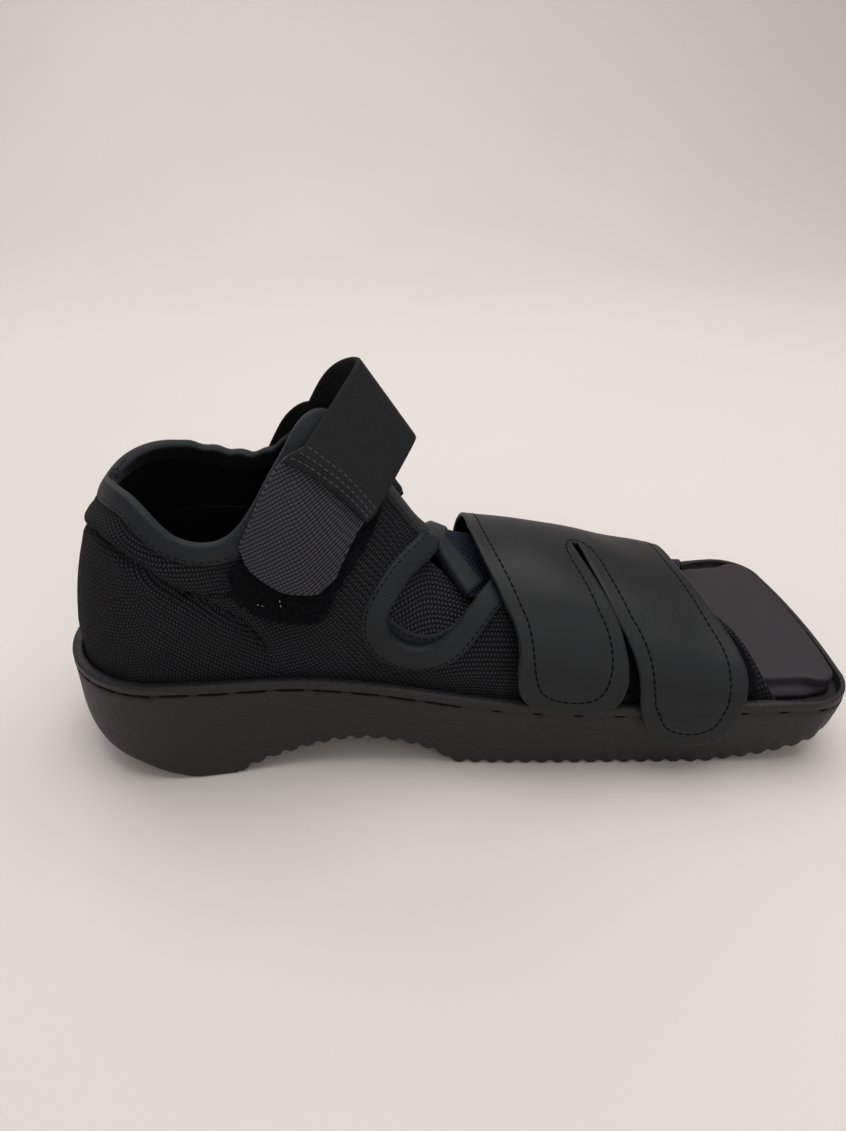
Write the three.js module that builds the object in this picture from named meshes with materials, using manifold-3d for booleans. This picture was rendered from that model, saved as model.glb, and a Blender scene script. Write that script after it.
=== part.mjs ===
// A post operative shoe: a square-toed rocker sole, an open mesh upper that wraps the foot like
// two flaps, a two-finger strap over the forefoot and a webbing strap over the ankle.
// Millimetres, +Z up. The toe points along +X and the straps close on the -Y side.
// The origin lies on the floor, in the middle of the heel's flat seat.
import * as THREE from "three";
import { mergeVertices } from "three/addons/utils/BufferGeometryUtils.js";
import Module from "manifold-3d";

const wasm = await Module();
wasm.setup();
const { clamp, degToRad, lerp, smoothstep } = THREE.MathUtils;

// Sole
const SOLE_LENGTH = 296;
const TOE_WIDTH = 107.6;
const HEEL_WIDTH = 82;
const HEEL_HEIGHT = 43.5;
const TOE_HEIGHT = 29;
const TOE_CORNER = 19;
const TOE_BOW = 2;
const RIM_WALL = 4;
const TOE_RIM_WALL = 2;
const TRAY_DEPTH = 5;
const FOREFOOT_TAPER = 2.5;
const HEEL_FLARE = 1.5;
const RIB_PITCH = 6.5;
const RIB_DEPTH = 1.5;
const GROOVE_DROP = 3.3;
const GROOVE_HEIGHT = 1;
const GROOVE_DEPTH = 0.9;
const INSOLE_THICKNESS = 7.5;
const INSOLE_BEVEL = 1;
const TOE_GAP = 2.5;

// Cloth and straps
const ANKLE_RISE = 118;
const UPPER_WALL = 3;
const COUNTER_STEP = 1.2;
const SIDE_SWELL = 2;
const TONGUE_THICKNESS = 3;
const BINDING_THICKNESS = 0.8;
const COLLAR_BINDING_WIDTH = 6;
const THROAT_BINDING_WIDTH = 8.5;
const BINDING_STEP = 0.8;
const LOOP_PATCH_THICKNESS = 1.3;
const HOOK_TAB_THICKNESS = 1.5;
const WEBBING_THICKNESS = 1.4;
const FOREFOOT_STRAP_THICKNESS = 1.7;
const ANKLE_LOOP_RISE = 27.6;
const ANKLE_LOOP_FALL = 5;
const ANKLE_LOOP_BOW = 4.5;

// Gaps between pieces that touch on the real shoe
const CLEARANCE = 0.3;
const CLOTH_GAP = 0.5;
const SEWN_GAP = 0.75;
const TONGUE_GAP = 1;

const COLOURS = {
  rubber: "#1d1c1d",
  foam: "#39343a",
  mesh: "#18191c",
  webbing: "#2b2b2f",
  loop: "#141416",
  hook: "#303035",
  strap: "#2b2e31",
};

// Tables: each row is a list of values under the named columns.
const table = (columns, rows) =>
  rows.map((row) => Object.fromEntries(columns.map((name, i) => [name, row[i]])));

// Smooth curve through rows that never overshoots them, as a function of the first column.
function smoothTable(columns, rows) {
  const knots = table(columns, rows);
  const [along, value] = columns;
  const slopes = knots.slice(1).map((k, i) => (k[value] - knots[i][value]) / (k[along] - knots[i][along]));
  const tangents = knots.map((_, i) => {
    const before = slopes[i - 1] ?? slopes[i];
    const after = slopes[i] ?? slopes[i - 1];
    return before * after <= 0 ? 0 : (2 * before * after) / (before + after);
  });
  return (x) => {
    const last = knots.length - 2;
    const i = Math.max(0, Math.min(last, knots.findIndex((k) => k[along] > x) - 1));
    const inside = x >= knots[knots.length - 1][along] ? last : i;
    const span = knots[inside + 1][along] - knots[inside][along];
    const t = clamp((x - knots[inside][along]) / span, 0, 1);
    return (
      (1 + 2 * t) * (1 - t) ** 2 * knots[inside][value] +
      t * (1 - t) ** 2 * span * tangents[inside] +
      t * t * (3 - 2 * t) * knots[inside + 1][value] +
      t * t * (t - 1) * span * tangents[inside + 1]
    );
  };
}

// Outline of the sole in plan: at is a share of the sole's length, spread goes from the heel's
// half width at 0 to the toe's at 1.
const widthSpread = smoothTable(["at", "spread"], [
  [0.118, 0],
  [0.159, -0.01],
  [0.189, -0.06],
  [0.298, -0.27],
  [0.365, -0.16],
  [0.446, 0.08],
  [0.544, 0.35],
  [0.696, 0.62],
  [0.848, 0.86],
  [0.926, 0.96],
  [1, 1],
]);
// Top of the rim: drop goes from the heel's height at 0 to the forefoot's at 1.
const rimDrop = smoothTable(["at", "drop"], [
  [0, 0.03],
  [0.054, 0],
  [0.135, 0.01],
  [0.209, 0.1],
  [0.291, 0.21],
  [0.369, 0.34],
  [0.45, 0.54],
  [0.5, 0.7],
  [0.571, 0.86],
  [0.693, 1],
  [0.777, 1],
  [0.848, 0.945],
  [0.922, 0.915],
  [1, 0.895],
]);
// Underside of the sole: up is a share of the heel's height. Each row of a stretch lies on it.
const HEEL_CURVE = table(["at", "up"], [
  [0, 0.69],
  [0.009, 0.55],
  [0.022, 0.41],
  [0.04, 0.3],
  [0.063, 0.23],
  [0.097, 0.16],
  [0.125, 0.08],
  [0.153, 0.015],
  [0.169, 0],
]);
const ARCH_CURVE = table(["at", "up"], [
  [0.213, 0],
  [0.243, 0.092],
  [0.277, 0.161],
  [0.314, 0.23],
  [0.348, 0.272],
  [0.385, 0.272],
  [0.422, 0.23],
  [0.46, 0.138],
  [0.49, 0],
]);
const TOE_CURVE = table(["at", "up"], [
  [0.81, 0],
  [0.865, 0.057],
  [0.906, 0.126],
  [0.939, 0.207],
  [0.967, 0.3],
  [0.982, 0.42],
]);
// Ridge of the last above the tray: rise is a share of the ankle's rise.
const ridgeRise = smoothTable(["at", "rise"], [
  [0.139, 1],
  [0.189, 1.008],
  [0.257, 0.986],
  [0.308, 0.943],
  [0.344, 0.856],
  [0.385, 0.69],
  [0.429, 0.517],
  [0.473, 0.39],
  [0.51, 0.361],
  [0.612, 0.333],
  [0.75, 0.243],
  [0.831, 0.178],
  [0.899, 0.132],
]);
const HEEL_CENTRE = 0.1385 * SOLE_LENGTH;
const HEEL_SEAT = 0.189 * SOLE_LENGTH;
const HEEL_GIRTH = 0.2095 * SOLE_LENGTH;
const HEEL_BACK_SHARE = 0.67;
const HEEL_FULLNESS = 0.31;
const SIDE_FULLNESS = 0.92;
// The heel leans forward as it rises to the collar, up to a share of the ankle's rise. The lean
// fades along the sides.
const HEEL_LEAN = 0.057 * SOLE_LENGTH;
const LEAN_FADE = 0.169 * SOLE_LENGTH;
const LEAN_SHARE = 0.585;
const LEAN_POWER = 1.5;
const SWELL_START = 6;
const SWELL_END = 50;

const halfWidth = (x) => lerp(HEEL_WIDTH / 2, TOE_WIDTH / 2, widthSpread(x / SOLE_LENGTH));
const rimHeight = (x) => lerp(HEEL_HEIGHT, TOE_HEIGHT, rimDrop(x / SOLE_LENGTH));
const trayFloor = (x) => rimHeight(x) - TRAY_DEPTH;
const clothBase = (x) => trayFloor(x) + CLEARANCE;
const UPPER_INSET = RIM_WALL + CLOTH_GAP + UPPER_WALL;

// The rim gets thinner where the toes are free.
const THIN_START = 0.86;
const THIN_END = 0.93;
const rimWall = (x) =>
  lerp(RIM_WALL, TOE_RIM_WALL, smoothstep(x / SOLE_LENGTH, THIN_START, THIN_END));

// Closed body from a mesh, and back.
function solid(geometry) {
  const bare = new THREE.BufferGeometry();
  bare.setAttribute("position", geometry.getAttribute("position"));
  if (geometry.index) bare.setIndex(geometry.index);
  const merged = mergeVertices(bare, 1e-4);
  const vertProperties = merged.attributes.position.array;
  const triVerts = new Uint32Array(merged.index.array);
  return new wasm.Manifold(new wasm.Mesh({ numProp: 3, vertProperties, triVerts }));
}
function geometryOf(body) {
  const { vertProperties, triVerts } = body.getMesh();
  const geometry = new THREE.BufferGeometry();
  geometry.setAttribute("position", new THREE.BufferAttribute(vertProperties, 3));
  geometry.setIndex(new THREE.BufferAttribute(triVerts, 1));
  return geometry;
}
function geometryFrom(points, faces) {
  const geometry = new THREE.BufferGeometry();
  geometry.setAttribute("position", new THREE.Float32BufferAttribute(points.flatMap((p) => p.toArray()), 3));
  geometry.setIndex(faces.flat());
  return geometry;
}

// Half of the plan outline, heel to toe, on the -Y side, moved in by an inset that may change
// along the sole. The front edge bows forward and its corner is round.
const PLAN_HEEL_STEPS = 11;
const PLAN_SIDE_STEPS = 24;
const PLAN_CORNER_STEPS = 5;
function halfPlan(inset) {
  const front = SOLE_LENGTH - TOE_BOW;
  const cornerX = front - TOE_CORNER;
  const cornerY = halfWidth(front) - TOE_CORNER;
  const outline = [];
  for (let i = 0; i <= PLAN_HEEL_STEPS; i++) {
    const turn = (i / PLAN_HEEL_STEPS) * (Math.PI / 2);
    outline.push([HEEL_CENTRE * (1 - Math.cos(turn)), (HEEL_WIDTH / 2) * Math.sin(turn)]);
  }
  for (let i = 1; i <= PLAN_SIDE_STEPS; i++) {
    const x = lerp(HEEL_CENTRE, cornerX, i / PLAN_SIDE_STEPS);
    outline.push([x, halfWidth(x)]);
  }
  for (let i = 1; i <= PLAN_CORNER_STEPS; i++) {
    const turn = (i / PLAN_CORNER_STEPS) * (Math.PI / 2);
    outline.push([cornerX + TOE_CORNER * Math.sin(turn), cornerY + TOE_CORNER * Math.cos(turn)]);
  }
  outline.push([SOLE_LENGTH - TOE_BOW / 4, cornerY / 2], [SOLE_LENGTH, 0]);
  return outline.map(([x, y], i) => {
    const before = outline[Math.max(i - 1, 0)];
    const after = outline[Math.min(i + 1, outline.length - 1)];
    const along = new THREE.Vector2(after[0] - before[0], after[1] - before[1]).normalize();
    const end = i === 0 || i === outline.length - 1;
    const normal = end ? new THREE.Vector2(i === 0 ? -1 : 1, 0) : new THREE.Vector2(-along.y, along.x);
    return new THREE.Vector2(x, y).addScaledVector(normal, -inset(x));
  });
}

// Upright body on the plan outline, one ring for each level.
function planBody(levels) {
  const rings = levels.map(({ z, inset }) => {
    const half = halfPlan(inset);
    const near = half.map((p) => new THREE.Vector3(p.x, -p.y, z));
    const far = half.slice(1, -1).map((p) => new THREE.Vector3(p.x, p.y, z));
    return [...near, ...far.reverse()];
  });
  const count = rings[0].length;
  const faces = [];
  for (let level = 1; level < rings.length; level++)
    for (let i = 0; i < count; i++) {
      const a = (level - 1) * count + i;
      const b = (level - 1) * count + ((i + 1) % count);
      faces.push([a, b, b + count], [a, b + count, a + count]);
    }
  const top = (rings.length - 1) * count;
  for (let i = 1, j = count - 1; i < j; i++, j--) {
    const previous = i === 1 ? 0 : j + 1;
    faces.push([previous, j, i], [top + previous, top + i, top + j]);
    if (i > 1) faces.push([previous, i, i - 1], [top + previous, top + i - 1, top + i]);
    if (j - i === 2) faces.push([i, j, i + 1], [top + i, top + i + 1, top + j]);
  }
  return solid(geometryFrom(rings.flat(), faces));
}

// Body as wide as the sole whose outline from the side is the given one.
function sideBody(outline) {
  const depth = 2 * TOE_WIDTH;
  const shape = new THREE.Shape(outline.map(([x, z]) => new THREE.Vector2(x, z)));
  const geometry = new THREE.ExtrudeGeometry(shape, { depth, bevelEnabled: false });
  geometry.rotateX(Math.PI / 2);
  geometry.translate(0, depth / 2, 0);
  return solid(geometry);
}

// Places along the sole, a step apart, with both ends.
const SIDE_STEP = 0.04;
const SIDE_PAST = 0.02;
function stations() {
  const count = Math.ceil((1 + 2 * SIDE_PAST) / SIDE_STEP);
  return Array.from(
    { length: count + 1 },
    (_, i) => lerp(-SIDE_PAST, 1 + SIDE_PAST, i / count) * SOLE_LENGTH,
  );
}

// A stretch of the underside with its cross ribs: the crests lie on the curve.
const RIB_SHAPE = table(["along", "depth"], [
  [0.05, 0],
  [0.5, 0],
  [0.62, 1],
  [0.93, 1],
]);
const RIB_SAMPLES = 60;
const HEEL_SAMPLES = 16;
function ribbed(curve) {
  const points = curve.map(({ at, up }) => new THREE.Vector2(at * SOLE_LENGTH, up * HEEL_HEIGHT));
  const spline = new THREE.SplineCurve(points);
  const samples = spline.getPoints(RIB_SAMPLES);
  const height = (x) => {
    const i = Math.max(1, samples.findIndex((p) => p.x >= x));
    const [a, b] = [samples[i - 1], samples[i]];
    return THREE.MathUtils.mapLinear(x, a.x, b.x, a.y, b.y);
  };
  const start = points[0].x;
  const length = points[points.length - 1].x - start;
  const count = Math.max(1, Math.round(length / RIB_PITCH));
  const pitch = length / count;
  return Array.from({ length: count }, (_, i) =>
    RIB_SHAPE.map(({ along, depth }) => {
      const x = start + (i + along) * pitch;
      return [x, height(x) + depth * RIB_DEPTH];
    }),
  ).flat();
}

const straight = (from, to) => [
  { at: from, up: 0 },
  { at: to, up: 0 },
];
function underside() {
  const heel = new THREE.SplineCurve(HEEL_CURVE.map(({ at, up }) => new THREE.Vector2(at, up)))
    .getPoints(HEEL_SAMPLES)
    .map((p) => [p.x * SOLE_LENGTH, p.y * HEEL_HEIGHT]);
  const archEnd = ARCH_CURVE[ARCH_CURVE.length - 1].at;
  return [
    ...heel,
    [ARCH_CURVE[0].at * SOLE_LENGTH, 0],
    ...ribbed(ARCH_CURVE),
    ...ribbed(straight(archEnd, TOE_CURVE[0].at)),
    ...ribbed(TOE_CURVE),
  ];
}

// Upright body inside the sole's outline, past both ends of its height.
const inner = (inset) =>
  planBody([
    { z: -HEEL_HEIGHT, inset },
    { z: 2 * HEEL_HEIGHT, inset },
  ]);

const TAPER_START = 0.2;
const TAPER_END = 0.5;
const TAPER_HEIGHT = 0.55 * HEEL_HEIGHT;
function outsole() {
  const past = SIDE_PAST * SOLE_LENGTH;
  const top = stations().reverse().map((x) => [x, rimHeight(x)]);
  const below = underside();
  const [, toeUp] = below[below.length - 1];
  const back = [-past, HEEL_CURVE[0].up * HEEL_HEIGHT];
  const front = [SOLE_LENGTH + past, toeUp + past];
  const taper = (x) =>
    lerp(-HEEL_FLARE, FOREFOOT_TAPER, smoothstep(x / SOLE_LENGTH, TAPER_START, TAPER_END));
  const plan = planBody([
    { z: -past, inset: taper },
    { z: TAPER_HEIGHT, inset: () => 0 },
    { z: HEEL_HEIGHT + past, inset: () => 0 },
  ]);
  const tray = sideBody([
    ...stations().map((x) => [x, trayFloor(x)]),
    ...stations().reverse().map((x) => [x, HEEL_HEIGHT + 2 * past]),
  ]).intersect(inner(rimWall));
  const side = sideBody([back, ...below, front, ...top]);
  const grooveTop = (x) => rimHeight(x) - GROOVE_DROP;
  const groove = sideBody([
    ...stations().map((x) => [x, grooveTop(x) - GROOVE_HEIGHT]),
    ...stations().reverse().map((x) => [x, grooveTop(x)]),
  ]).subtract(inner(() => GROOVE_DEPTH));
  return geometryOf(plan.intersect(side).subtract(tray).subtract(groove));
}

// The insole lies in the tray, inside the upper, and stands a little above the rim. Above its foot
// it is drawn in, because the flaps lean over it. Ahead of the upper it reaches nearer the rim.
const INSOLE_WIDENS = 0.95;
const INSOLE_EASE = 0.9;
const EASE_START = 0.65;
const EASE_END = 0.85;
const INSOLE_FOOT = 2.5;
const DRAWN_IN = 3.4;
const DRAWN_HEEL = 0.7;
const DRAWN_FROM = 0.35;
const DRAWN_FULL = 0.8;
const DRAWN_UNTIL = 0.945;
const DRAWN_NONE = 0.975;
function insole() {
  const bottom = (x) => trayFloor(x) + CLEARANCE;
  const slice = (height) =>
    sideBody([
      ...stations().map((x) => [x, bottom(x)]),
      ...stations().reverse().map((x) => [x, bottom(x) + height]),
    ]);
  const ahead = (x) => smoothstep(x / SOLE_LENGTH, INSOLE_WIDENS, 1);
  const ease = (x) => INSOLE_EASE * smoothstep(x / SOLE_LENGTH, EASE_START, EASE_END);
  const edge = (x) => lerp(UPPER_INSET + CLOTH_GAP + ease(x), TOE_RIM_WALL + TOE_GAP, ahead(x));
  const drawn = (x) =>
    lerp(DRAWN_HEEL, DRAWN_IN, smoothstep(x / SOLE_LENGTH, DRAWN_FROM, DRAWN_FULL)) *
    (1 - smoothstep(x / SOLE_LENGTH, DRAWN_UNTIL, DRAWN_NONE));
  const foot = slice(INSOLE_FOOT).intersect(inner(edge));
  const body = slice(INSOLE_THICKNESS - INSOLE_BEVEL).intersect(inner((x) => edge(x) + drawn(x)));
  const crown = slice(INSOLE_THICKNESS).intersect(
    inner((x) => edge(x) + drawn(x) + INSOLE_BEVEL),
  );
  return geometryOf(foot.add(body).add(crown));
}

// The last: the inner face of the upper. station runs along the base line from the back of the
// heel, positive on the -Y side. turn is the angle round the foot, 0 at the sole, 90 on the
// ridge, and past 90 on the way down the other side.
const swell = (turn) => {
  const share = clamp((turn - SWELL_START) / (SWELL_END - SWELL_START), 0, 1);
  return Math.sin(Math.PI * share) ** 2;
};
function lastPoint(station, turn) {
  const forward = Math.max(Math.abs(station) - HEEL_GIRTH, 0);
  const round = clamp(station / HEEL_GIRTH, -1, 1) * (Math.PI / 2);
  const sideways = Math.sin(round) ** 2;
  const beside = HEEL_CENTRE + forward;
  const backRadius = HEEL_CENTRE - UPPER_INSET;
  const sideRadius = (forward > 0 ? halfWidth(beside) : HEEL_WIDTH / 2) - UPPER_INSET;
  const base = clothBase(beside - backRadius * Math.cos(round));
  const share = lerp(HEEL_BACK_SHARE, ridgeRise(beside / SOLE_LENGTH), sideways);
  const angle = degToRad(turn);
  const above = Math.max(angle, 0);
  const height = share * ANKLE_RISE * (Math.sin(above) + Math.min(angle, 0));
  const cosine = Math.cos(above);
  const taper = (fullness) => Math.sign(cosine) * Math.abs(cosine) ** fullness;
  const swelling = SIDE_SWELL * (swell(turn) - swell(180 - turn));
  const backwards = backRadius * taper(HEEL_FULLNESS) * Math.cos(round);
  const across = (sideRadius * taper(SIDE_FULLNESS) + swelling) * Math.sin(round);
  const climbed = clamp((height - TRAY_DEPTH) / (LEAN_SHARE * ANKLE_RISE), 0, 1);
  const lean = HEEL_LEAN * climbed ** LEAN_POWER * (1 - smoothstep(forward, 0, LEAN_FADE));
  return new THREE.Vector3(beside + lean - backwards, -across, base + height);
}
const NUDGE = 0.4;
function skin(at, turn, offset) {
  const station = at * SOLE_LENGTH;
  const along = lastPoint(station + NUDGE, turn).sub(lastPoint(station - NUDGE, turn));
  const up = lastPoint(station, turn + NUDGE).sub(lastPoint(station, turn - NUDGE));
  const normal = along.cross(up).normalize();
  return lastPoint(station, turn).addScaledVector(normal, offset);
}

// Pattern pieces are drawn flat on the last: at is the station as a share of the sole's length,
// turn is in degrees. An edge is a smooth line through its rows.
const edge = (rows) =>
  new THREE.SplineCurve(table(["at", "turn"], rows).map(({ at, turn }) => new THREE.Vector2(at, turn)));
const line = (from, to) => new THREE.LineCurve(new THREE.Vector2(...from), new THREE.Vector2(...to));

// Places along a run of pattern points, as shares of it: evenly spaced, and beside a hem at either
// end two more, at the hem's inner edge and at the foot of its step.
const RUN_SAMPLES = 12;
const HEM_MOST = 0.6;
const STEP_MOST = 0.7;
function placed(pointOn, count, hemAtStart, hemAtEnd) {
  const points = Array.from({ length: RUN_SAMPLES + 1 }, (_, k) => {
    const { x, y } = pointOn(k / RUN_SAMPLES);
    return lastPoint(x * SOLE_LENGTH, y);
  });
  const shareAt = (length, most, ordered) => {
    let [left, k] = [length, 1];
    let span = ordered[0].distanceTo(ordered[1]);
    while (left > span && k < RUN_SAMPLES) {
      left -= span;
      k += 1;
      span = ordered[k - 1].distanceTo(ordered[k]);
    }
    return Math.min((k - 1 + left / span) / RUN_SAMPLES, most);
  };
  const hemShare = (width, ordered) => shareAt(width, HEM_MOST, ordered);
  const stepShare = (width, ordered) => (width ? shareAt(width + BINDING_STEP, STEP_MOST, ordered) : 0);
  const backwards = [...points].reverse();
  const even = Array.from({ length: count + 1 }, (_, i) => ({
    share: lerp(stepShare(hemAtStart, points), 1 - stepShare(hemAtEnd, backwards), i / count),
    raised: false,
  }));
  const start = [0, hemShare(hemAtStart, points)].map((share) => ({ share, raised: true }));
  const end = [1 - hemShare(hemAtEnd, backwards), 1].map((share) => ({ share, raised: true }));
  return [...(hemAtStart ? start : []), ...even, ...(hemAtEnd ? end : [])];
}

// Grid of pattern points between four edges that meet at their ends. Each point is at, turn and
// whether it lies on a hem. A hem is given by its width beside an edge; with bothHems a point is
// on it only where a column's hem and a row's meet.
const NO_HEMS = { leading: 0, trailing: 0, lower: 0, upper: 0 };
const PLACING_PASSES = 3;
function patch({ lower, upper, leading, trailing, columns, rows, hems = {}, bothHems = false }) {
  const hem = { ...NO_HEMS, ...hems };
  const ends = [lower.getPoint(0), lower.getPoint(1), upper.getPoint(0), upper.getPoint(1)];
  const pointAt = (c, v) =>
    new THREE.Vector2()
      .addScaledVector(lower.getPoint(c), 1 - v)
      .addScaledVector(upper.getPoint(c), v)
      .addScaledVector(leading.getPoint(v), 1 - c)
      .addScaledVector(trailing.getPoint(v), c)
      .addScaledVector(ends[0], -(1 - c) * (1 - v))
      .addScaledVector(ends[1], -c * (1 - v))
      .addScaledVector(ends[2], -(1 - c) * v)
      .addScaledVector(ends[3], -c * v);
  const across = (v) => placed((c) => pointAt(c, v), columns, hem.leading, hem.trailing);
  const upwards = (c) => placed((v) => pointAt(c, v), rows, hem.lower, hem.upper);
  return across(0).map((_, i) =>
    upwards(0).map((_, j) => {
      let column = across(0)[i];
      let row = upwards(column.share)[j];
      for (let pass = 0; pass < PLACING_PASSES; pass++) {
        column = across(row.share)[i];
        row = upwards(column.share)[j];
      }
      const point = pointAt(column.share, row.share);
      const raised = bothHems ? column.raised && row.raised : column.raised || row.raised;
      return [point.x, point.y, raised];
    }),
  );
}
const mirrored = (grid) => grid.map((column) => column.map(([at, ...rest]) => [-at, ...rest])).reverse();

// Closed slab over the grids' cells: an inner and an outer face, and walls along the free edges.
function slab(grids, innerFace, outerFace) {
  const seen = new Map();
  const inside = [];
  const outside = [];
  const corner = ([at, turn, raised]) => {
    const key = `${at.toFixed(4)} ${turn.toFixed(2)}`;
    if (!seen.has(key)) {
      seen.set(key, inside.length);
      inside.push(innerFace(at, turn, raised));
      outside.push(outerFace(at, turn, raised));
    }
    return seen.get(key);
  };
  const cells = grids.flatMap((grid) =>
    grid.slice(1).flatMap((column, i) =>
      column.slice(1).map((_, j) => [grid[i][j], column[j], column[j + 1], grid[i][j + 1]].map(corner)),
    ),
  );
  const count = inside.length;
  const faces = [];
  const free = new Map();
  for (const cell of cells) {
    const [a, b, c, d] = cell;
    faces.push([a, b, c], [a, c, d], [a + count, c + count, b + count], [a + count, d + count, c + count]);
    cell.forEach((p, i) => {
      const q = cell[(i + 1) % 4];
      if (!free.delete(`${q} ${p}`)) free.set(`${p} ${q}`, [p, q]);
    });
  }
  for (const [p, q] of free.values()) faces.push([q, p, p + count], [q, p + count, q + count]);
  return geometryFrom([...outside, ...inside], faces);
}
const clothSlab = (grids, from, to) =>
  slab(
    grids,
    (at, turn, raised) => skin(at, turn, from(at, turn, raised)),
    (at, turn, raised) => skin(at, turn, to(at, turn, raised)),
  );

// The upper is one piece that wraps from the near forefoot flap round the heel to the far one.
const BAND_TURN = 20;
const THROAT_REAR = 0.478;
const THROAT_FRONT = 0.519;
const THROAT_DIP = 1.5;
const BAND_FRONT = 0.95;
const BASE_FRONT = 0.963;
const COLLAR_BACK = 60;
const WING_TIP = [0.53, 83];
const FAR_TIP = [0.502, 77];
const heelCollar = [
  [0, COLLAR_BACK],
  [0.051, 54.5],
  [0.096, 46.5],
  [0.137, 40],
];
const NEAR_COLLAR = edge([
  ...heelCollar,
  [0.174, 34],
  [0.208, 29.8],
  [0.243, 28.2],
  [0.279, 29],
  [0.314, 33.5],
  [0.348, 41],
  [0.376, 50],
  [0.395, 61.5],
  [0.415, 73],
  [0.449, 80],
  [0.491, 84],
  WING_TIP,
]);
const FAR_COLLAR = edge([
  ...heelCollar,
  [0.174, 35.5],
  [0.208, 33.3],
  [0.243, 32.3],
  [0.279, 32],
  [0.314, 33.5],
  [0.348, 37],
  [0.374, 43],
  [0.397, 51],
  [0.417, 60],
  [0.441, 68],
  [0.469, 74],
  FAR_TIP,
]);
const FAR_THROAT_EDGE = edge([
  [THROAT_REAR, BAND_TURN],
  [0.477, 27],
  [0.486, 38.5],
  [0.493, 53],
  [0.499, 66],
  FAR_TIP,
]);
const NEAR_THROAT_EDGE = edge([
  [THROAT_REAR, BAND_TURN],
  [0.477, 27],
  [0.494, 38.5],
  [0.513, 53],
  [0.529, 67],
  [0.536, 76],
  WING_TIP,
]);
const NEAR_FLAP_REAR = edge([
  [THROAT_FRONT, BAND_TURN],
  [0.543, 28],
  [0.568, 39],
  [0.588, 51],
  [0.609, 62],
  [0.639, 72],
]);
const FAR_FLAP_REAR = edge([
  [THROAT_FRONT, BAND_TURN],
  [0.527, 35],
  [0.537, 52],
  [0.543, 70],
  [0.539, 84],
  [0.54, 94],
  [0.551, 105],
  [0.566, 115],
  [0.582, 124],
]);
const NEAR_FLAP_TOP = edge([
  [0.639, 72],
  [0.709, 77],
  [0.791, 79],
  [0.861, 75],
]);
const FAR_FLAP_TOP = edge([
  [0.582, 124],
  [0.66, 126],
  [0.76, 126],
  [0.831, 122],
]);
const NEAR_FLAP_FRONT = edge([
  [BAND_FRONT, BAND_TURN],
  [0.927, 42],
  [0.897, 62],
  [0.861, 75],
]);
const FAR_FLAP_FRONT = edge([
  [BAND_FRONT, BAND_TURN],
  [0.927, 45],
  [0.897, 75],
  [0.867, 100],
  [0.831, 122],
]);

const WING_COLUMNS = 20;
const GAP_COLUMNS = 3;
const WING_ROWS = 6;
const NEAR_FLAP_ROWS = 6;
const FAR_FLAP_ROWS = 9;
const FLAP_COLUMNS = 13;
const BAND_ROWS = 1;
const band = ({ from, to, baseTo, columns, hems }) =>
  patch({
    lower: line([from, 0], [baseTo, 0]),
    upper: line([from, BAND_TURN], [to, BAND_TURN]),
    leading: line([from, 0], [from, BAND_TURN]),
    trailing: line([baseTo, 0], [to, BAND_TURN]),
    columns,
    rows: BAND_ROWS,
    hems: { ...hems, upper: THROAT_BINDING_WIDTH },
    bothHems: true,
  });
const rearQuarter = (collar, throatEdge) =>
  patch({
    lower: line([0, BAND_TURN], [THROAT_REAR, BAND_TURN]),
    upper: collar,
    leading: line([0, BAND_TURN], [0, COLLAR_BACK]),
    trailing: throatEdge,
    columns: WING_COLUMNS,
    rows: WING_ROWS,
    hems: { upper: COLLAR_BINDING_WIDTH, trailing: THROAT_BINDING_WIDTH },
  });
const flap = (rear, top, front, rows) =>
  patch({
    lower: line([THROAT_FRONT, BAND_TURN], [BAND_FRONT, BAND_TURN]),
    upper: top,
    leading: rear,
    trailing: front,
    columns: FLAP_COLUMNS,
    rows,
    hems: { leading: THROAT_BINDING_WIDTH },
  });
const throatFloor = patch({
  lower: line([THROAT_REAR, 0], [THROAT_FRONT, 0]),
  upper: edge([
    [THROAT_REAR, BAND_TURN],
    [(THROAT_REAR + THROAT_FRONT) / 2, BAND_TURN - THROAT_DIP],
    [THROAT_FRONT, BAND_TURN],
  ]),
  leading: line([THROAT_REAR, 0], [THROAT_REAR, BAND_TURN]),
  trailing: line([THROAT_FRONT, 0], [THROAT_FRONT, BAND_TURN]),
  columns: GAP_COLUMNS,
  rows: BAND_ROWS,
  hems: { upper: THROAT_BINDING_WIDTH },
});
const lowerBand = [
  band({
    from: 0,
    to: THROAT_REAR,
    baseTo: THROAT_REAR,
    columns: WING_COLUMNS,
    hems: { trailing: THROAT_BINDING_WIDTH },
  }),
  throatFloor,
  band({
    from: THROAT_FRONT,
    to: BAND_FRONT,
    baseTo: BASE_FRONT,
    columns: FLAP_COLUMNS,
    hems: { leading: THROAT_BINDING_WIDTH },
  }),
];

// The near flap rises over the far one, which reaches across the ridge under it.
const FLAP_LIFT = UPPER_WALL + BINDING_THICKNESS + CLOTH_GAP;
const LIFT_FOOT = BAND_TURN + 2;
const LIFT_TOP = 54;
const LIFT_REAR = THROAT_FRONT - 0.012;
const LIFT_FRONT = THROAT_FRONT + 0.03;
const flapLift = (at, turn) =>
  FLAP_LIFT * smoothstep(turn, LIFT_FOOT, LIFT_TOP) * smoothstep(at, LIFT_REAR, LIFT_FRONT);
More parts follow.
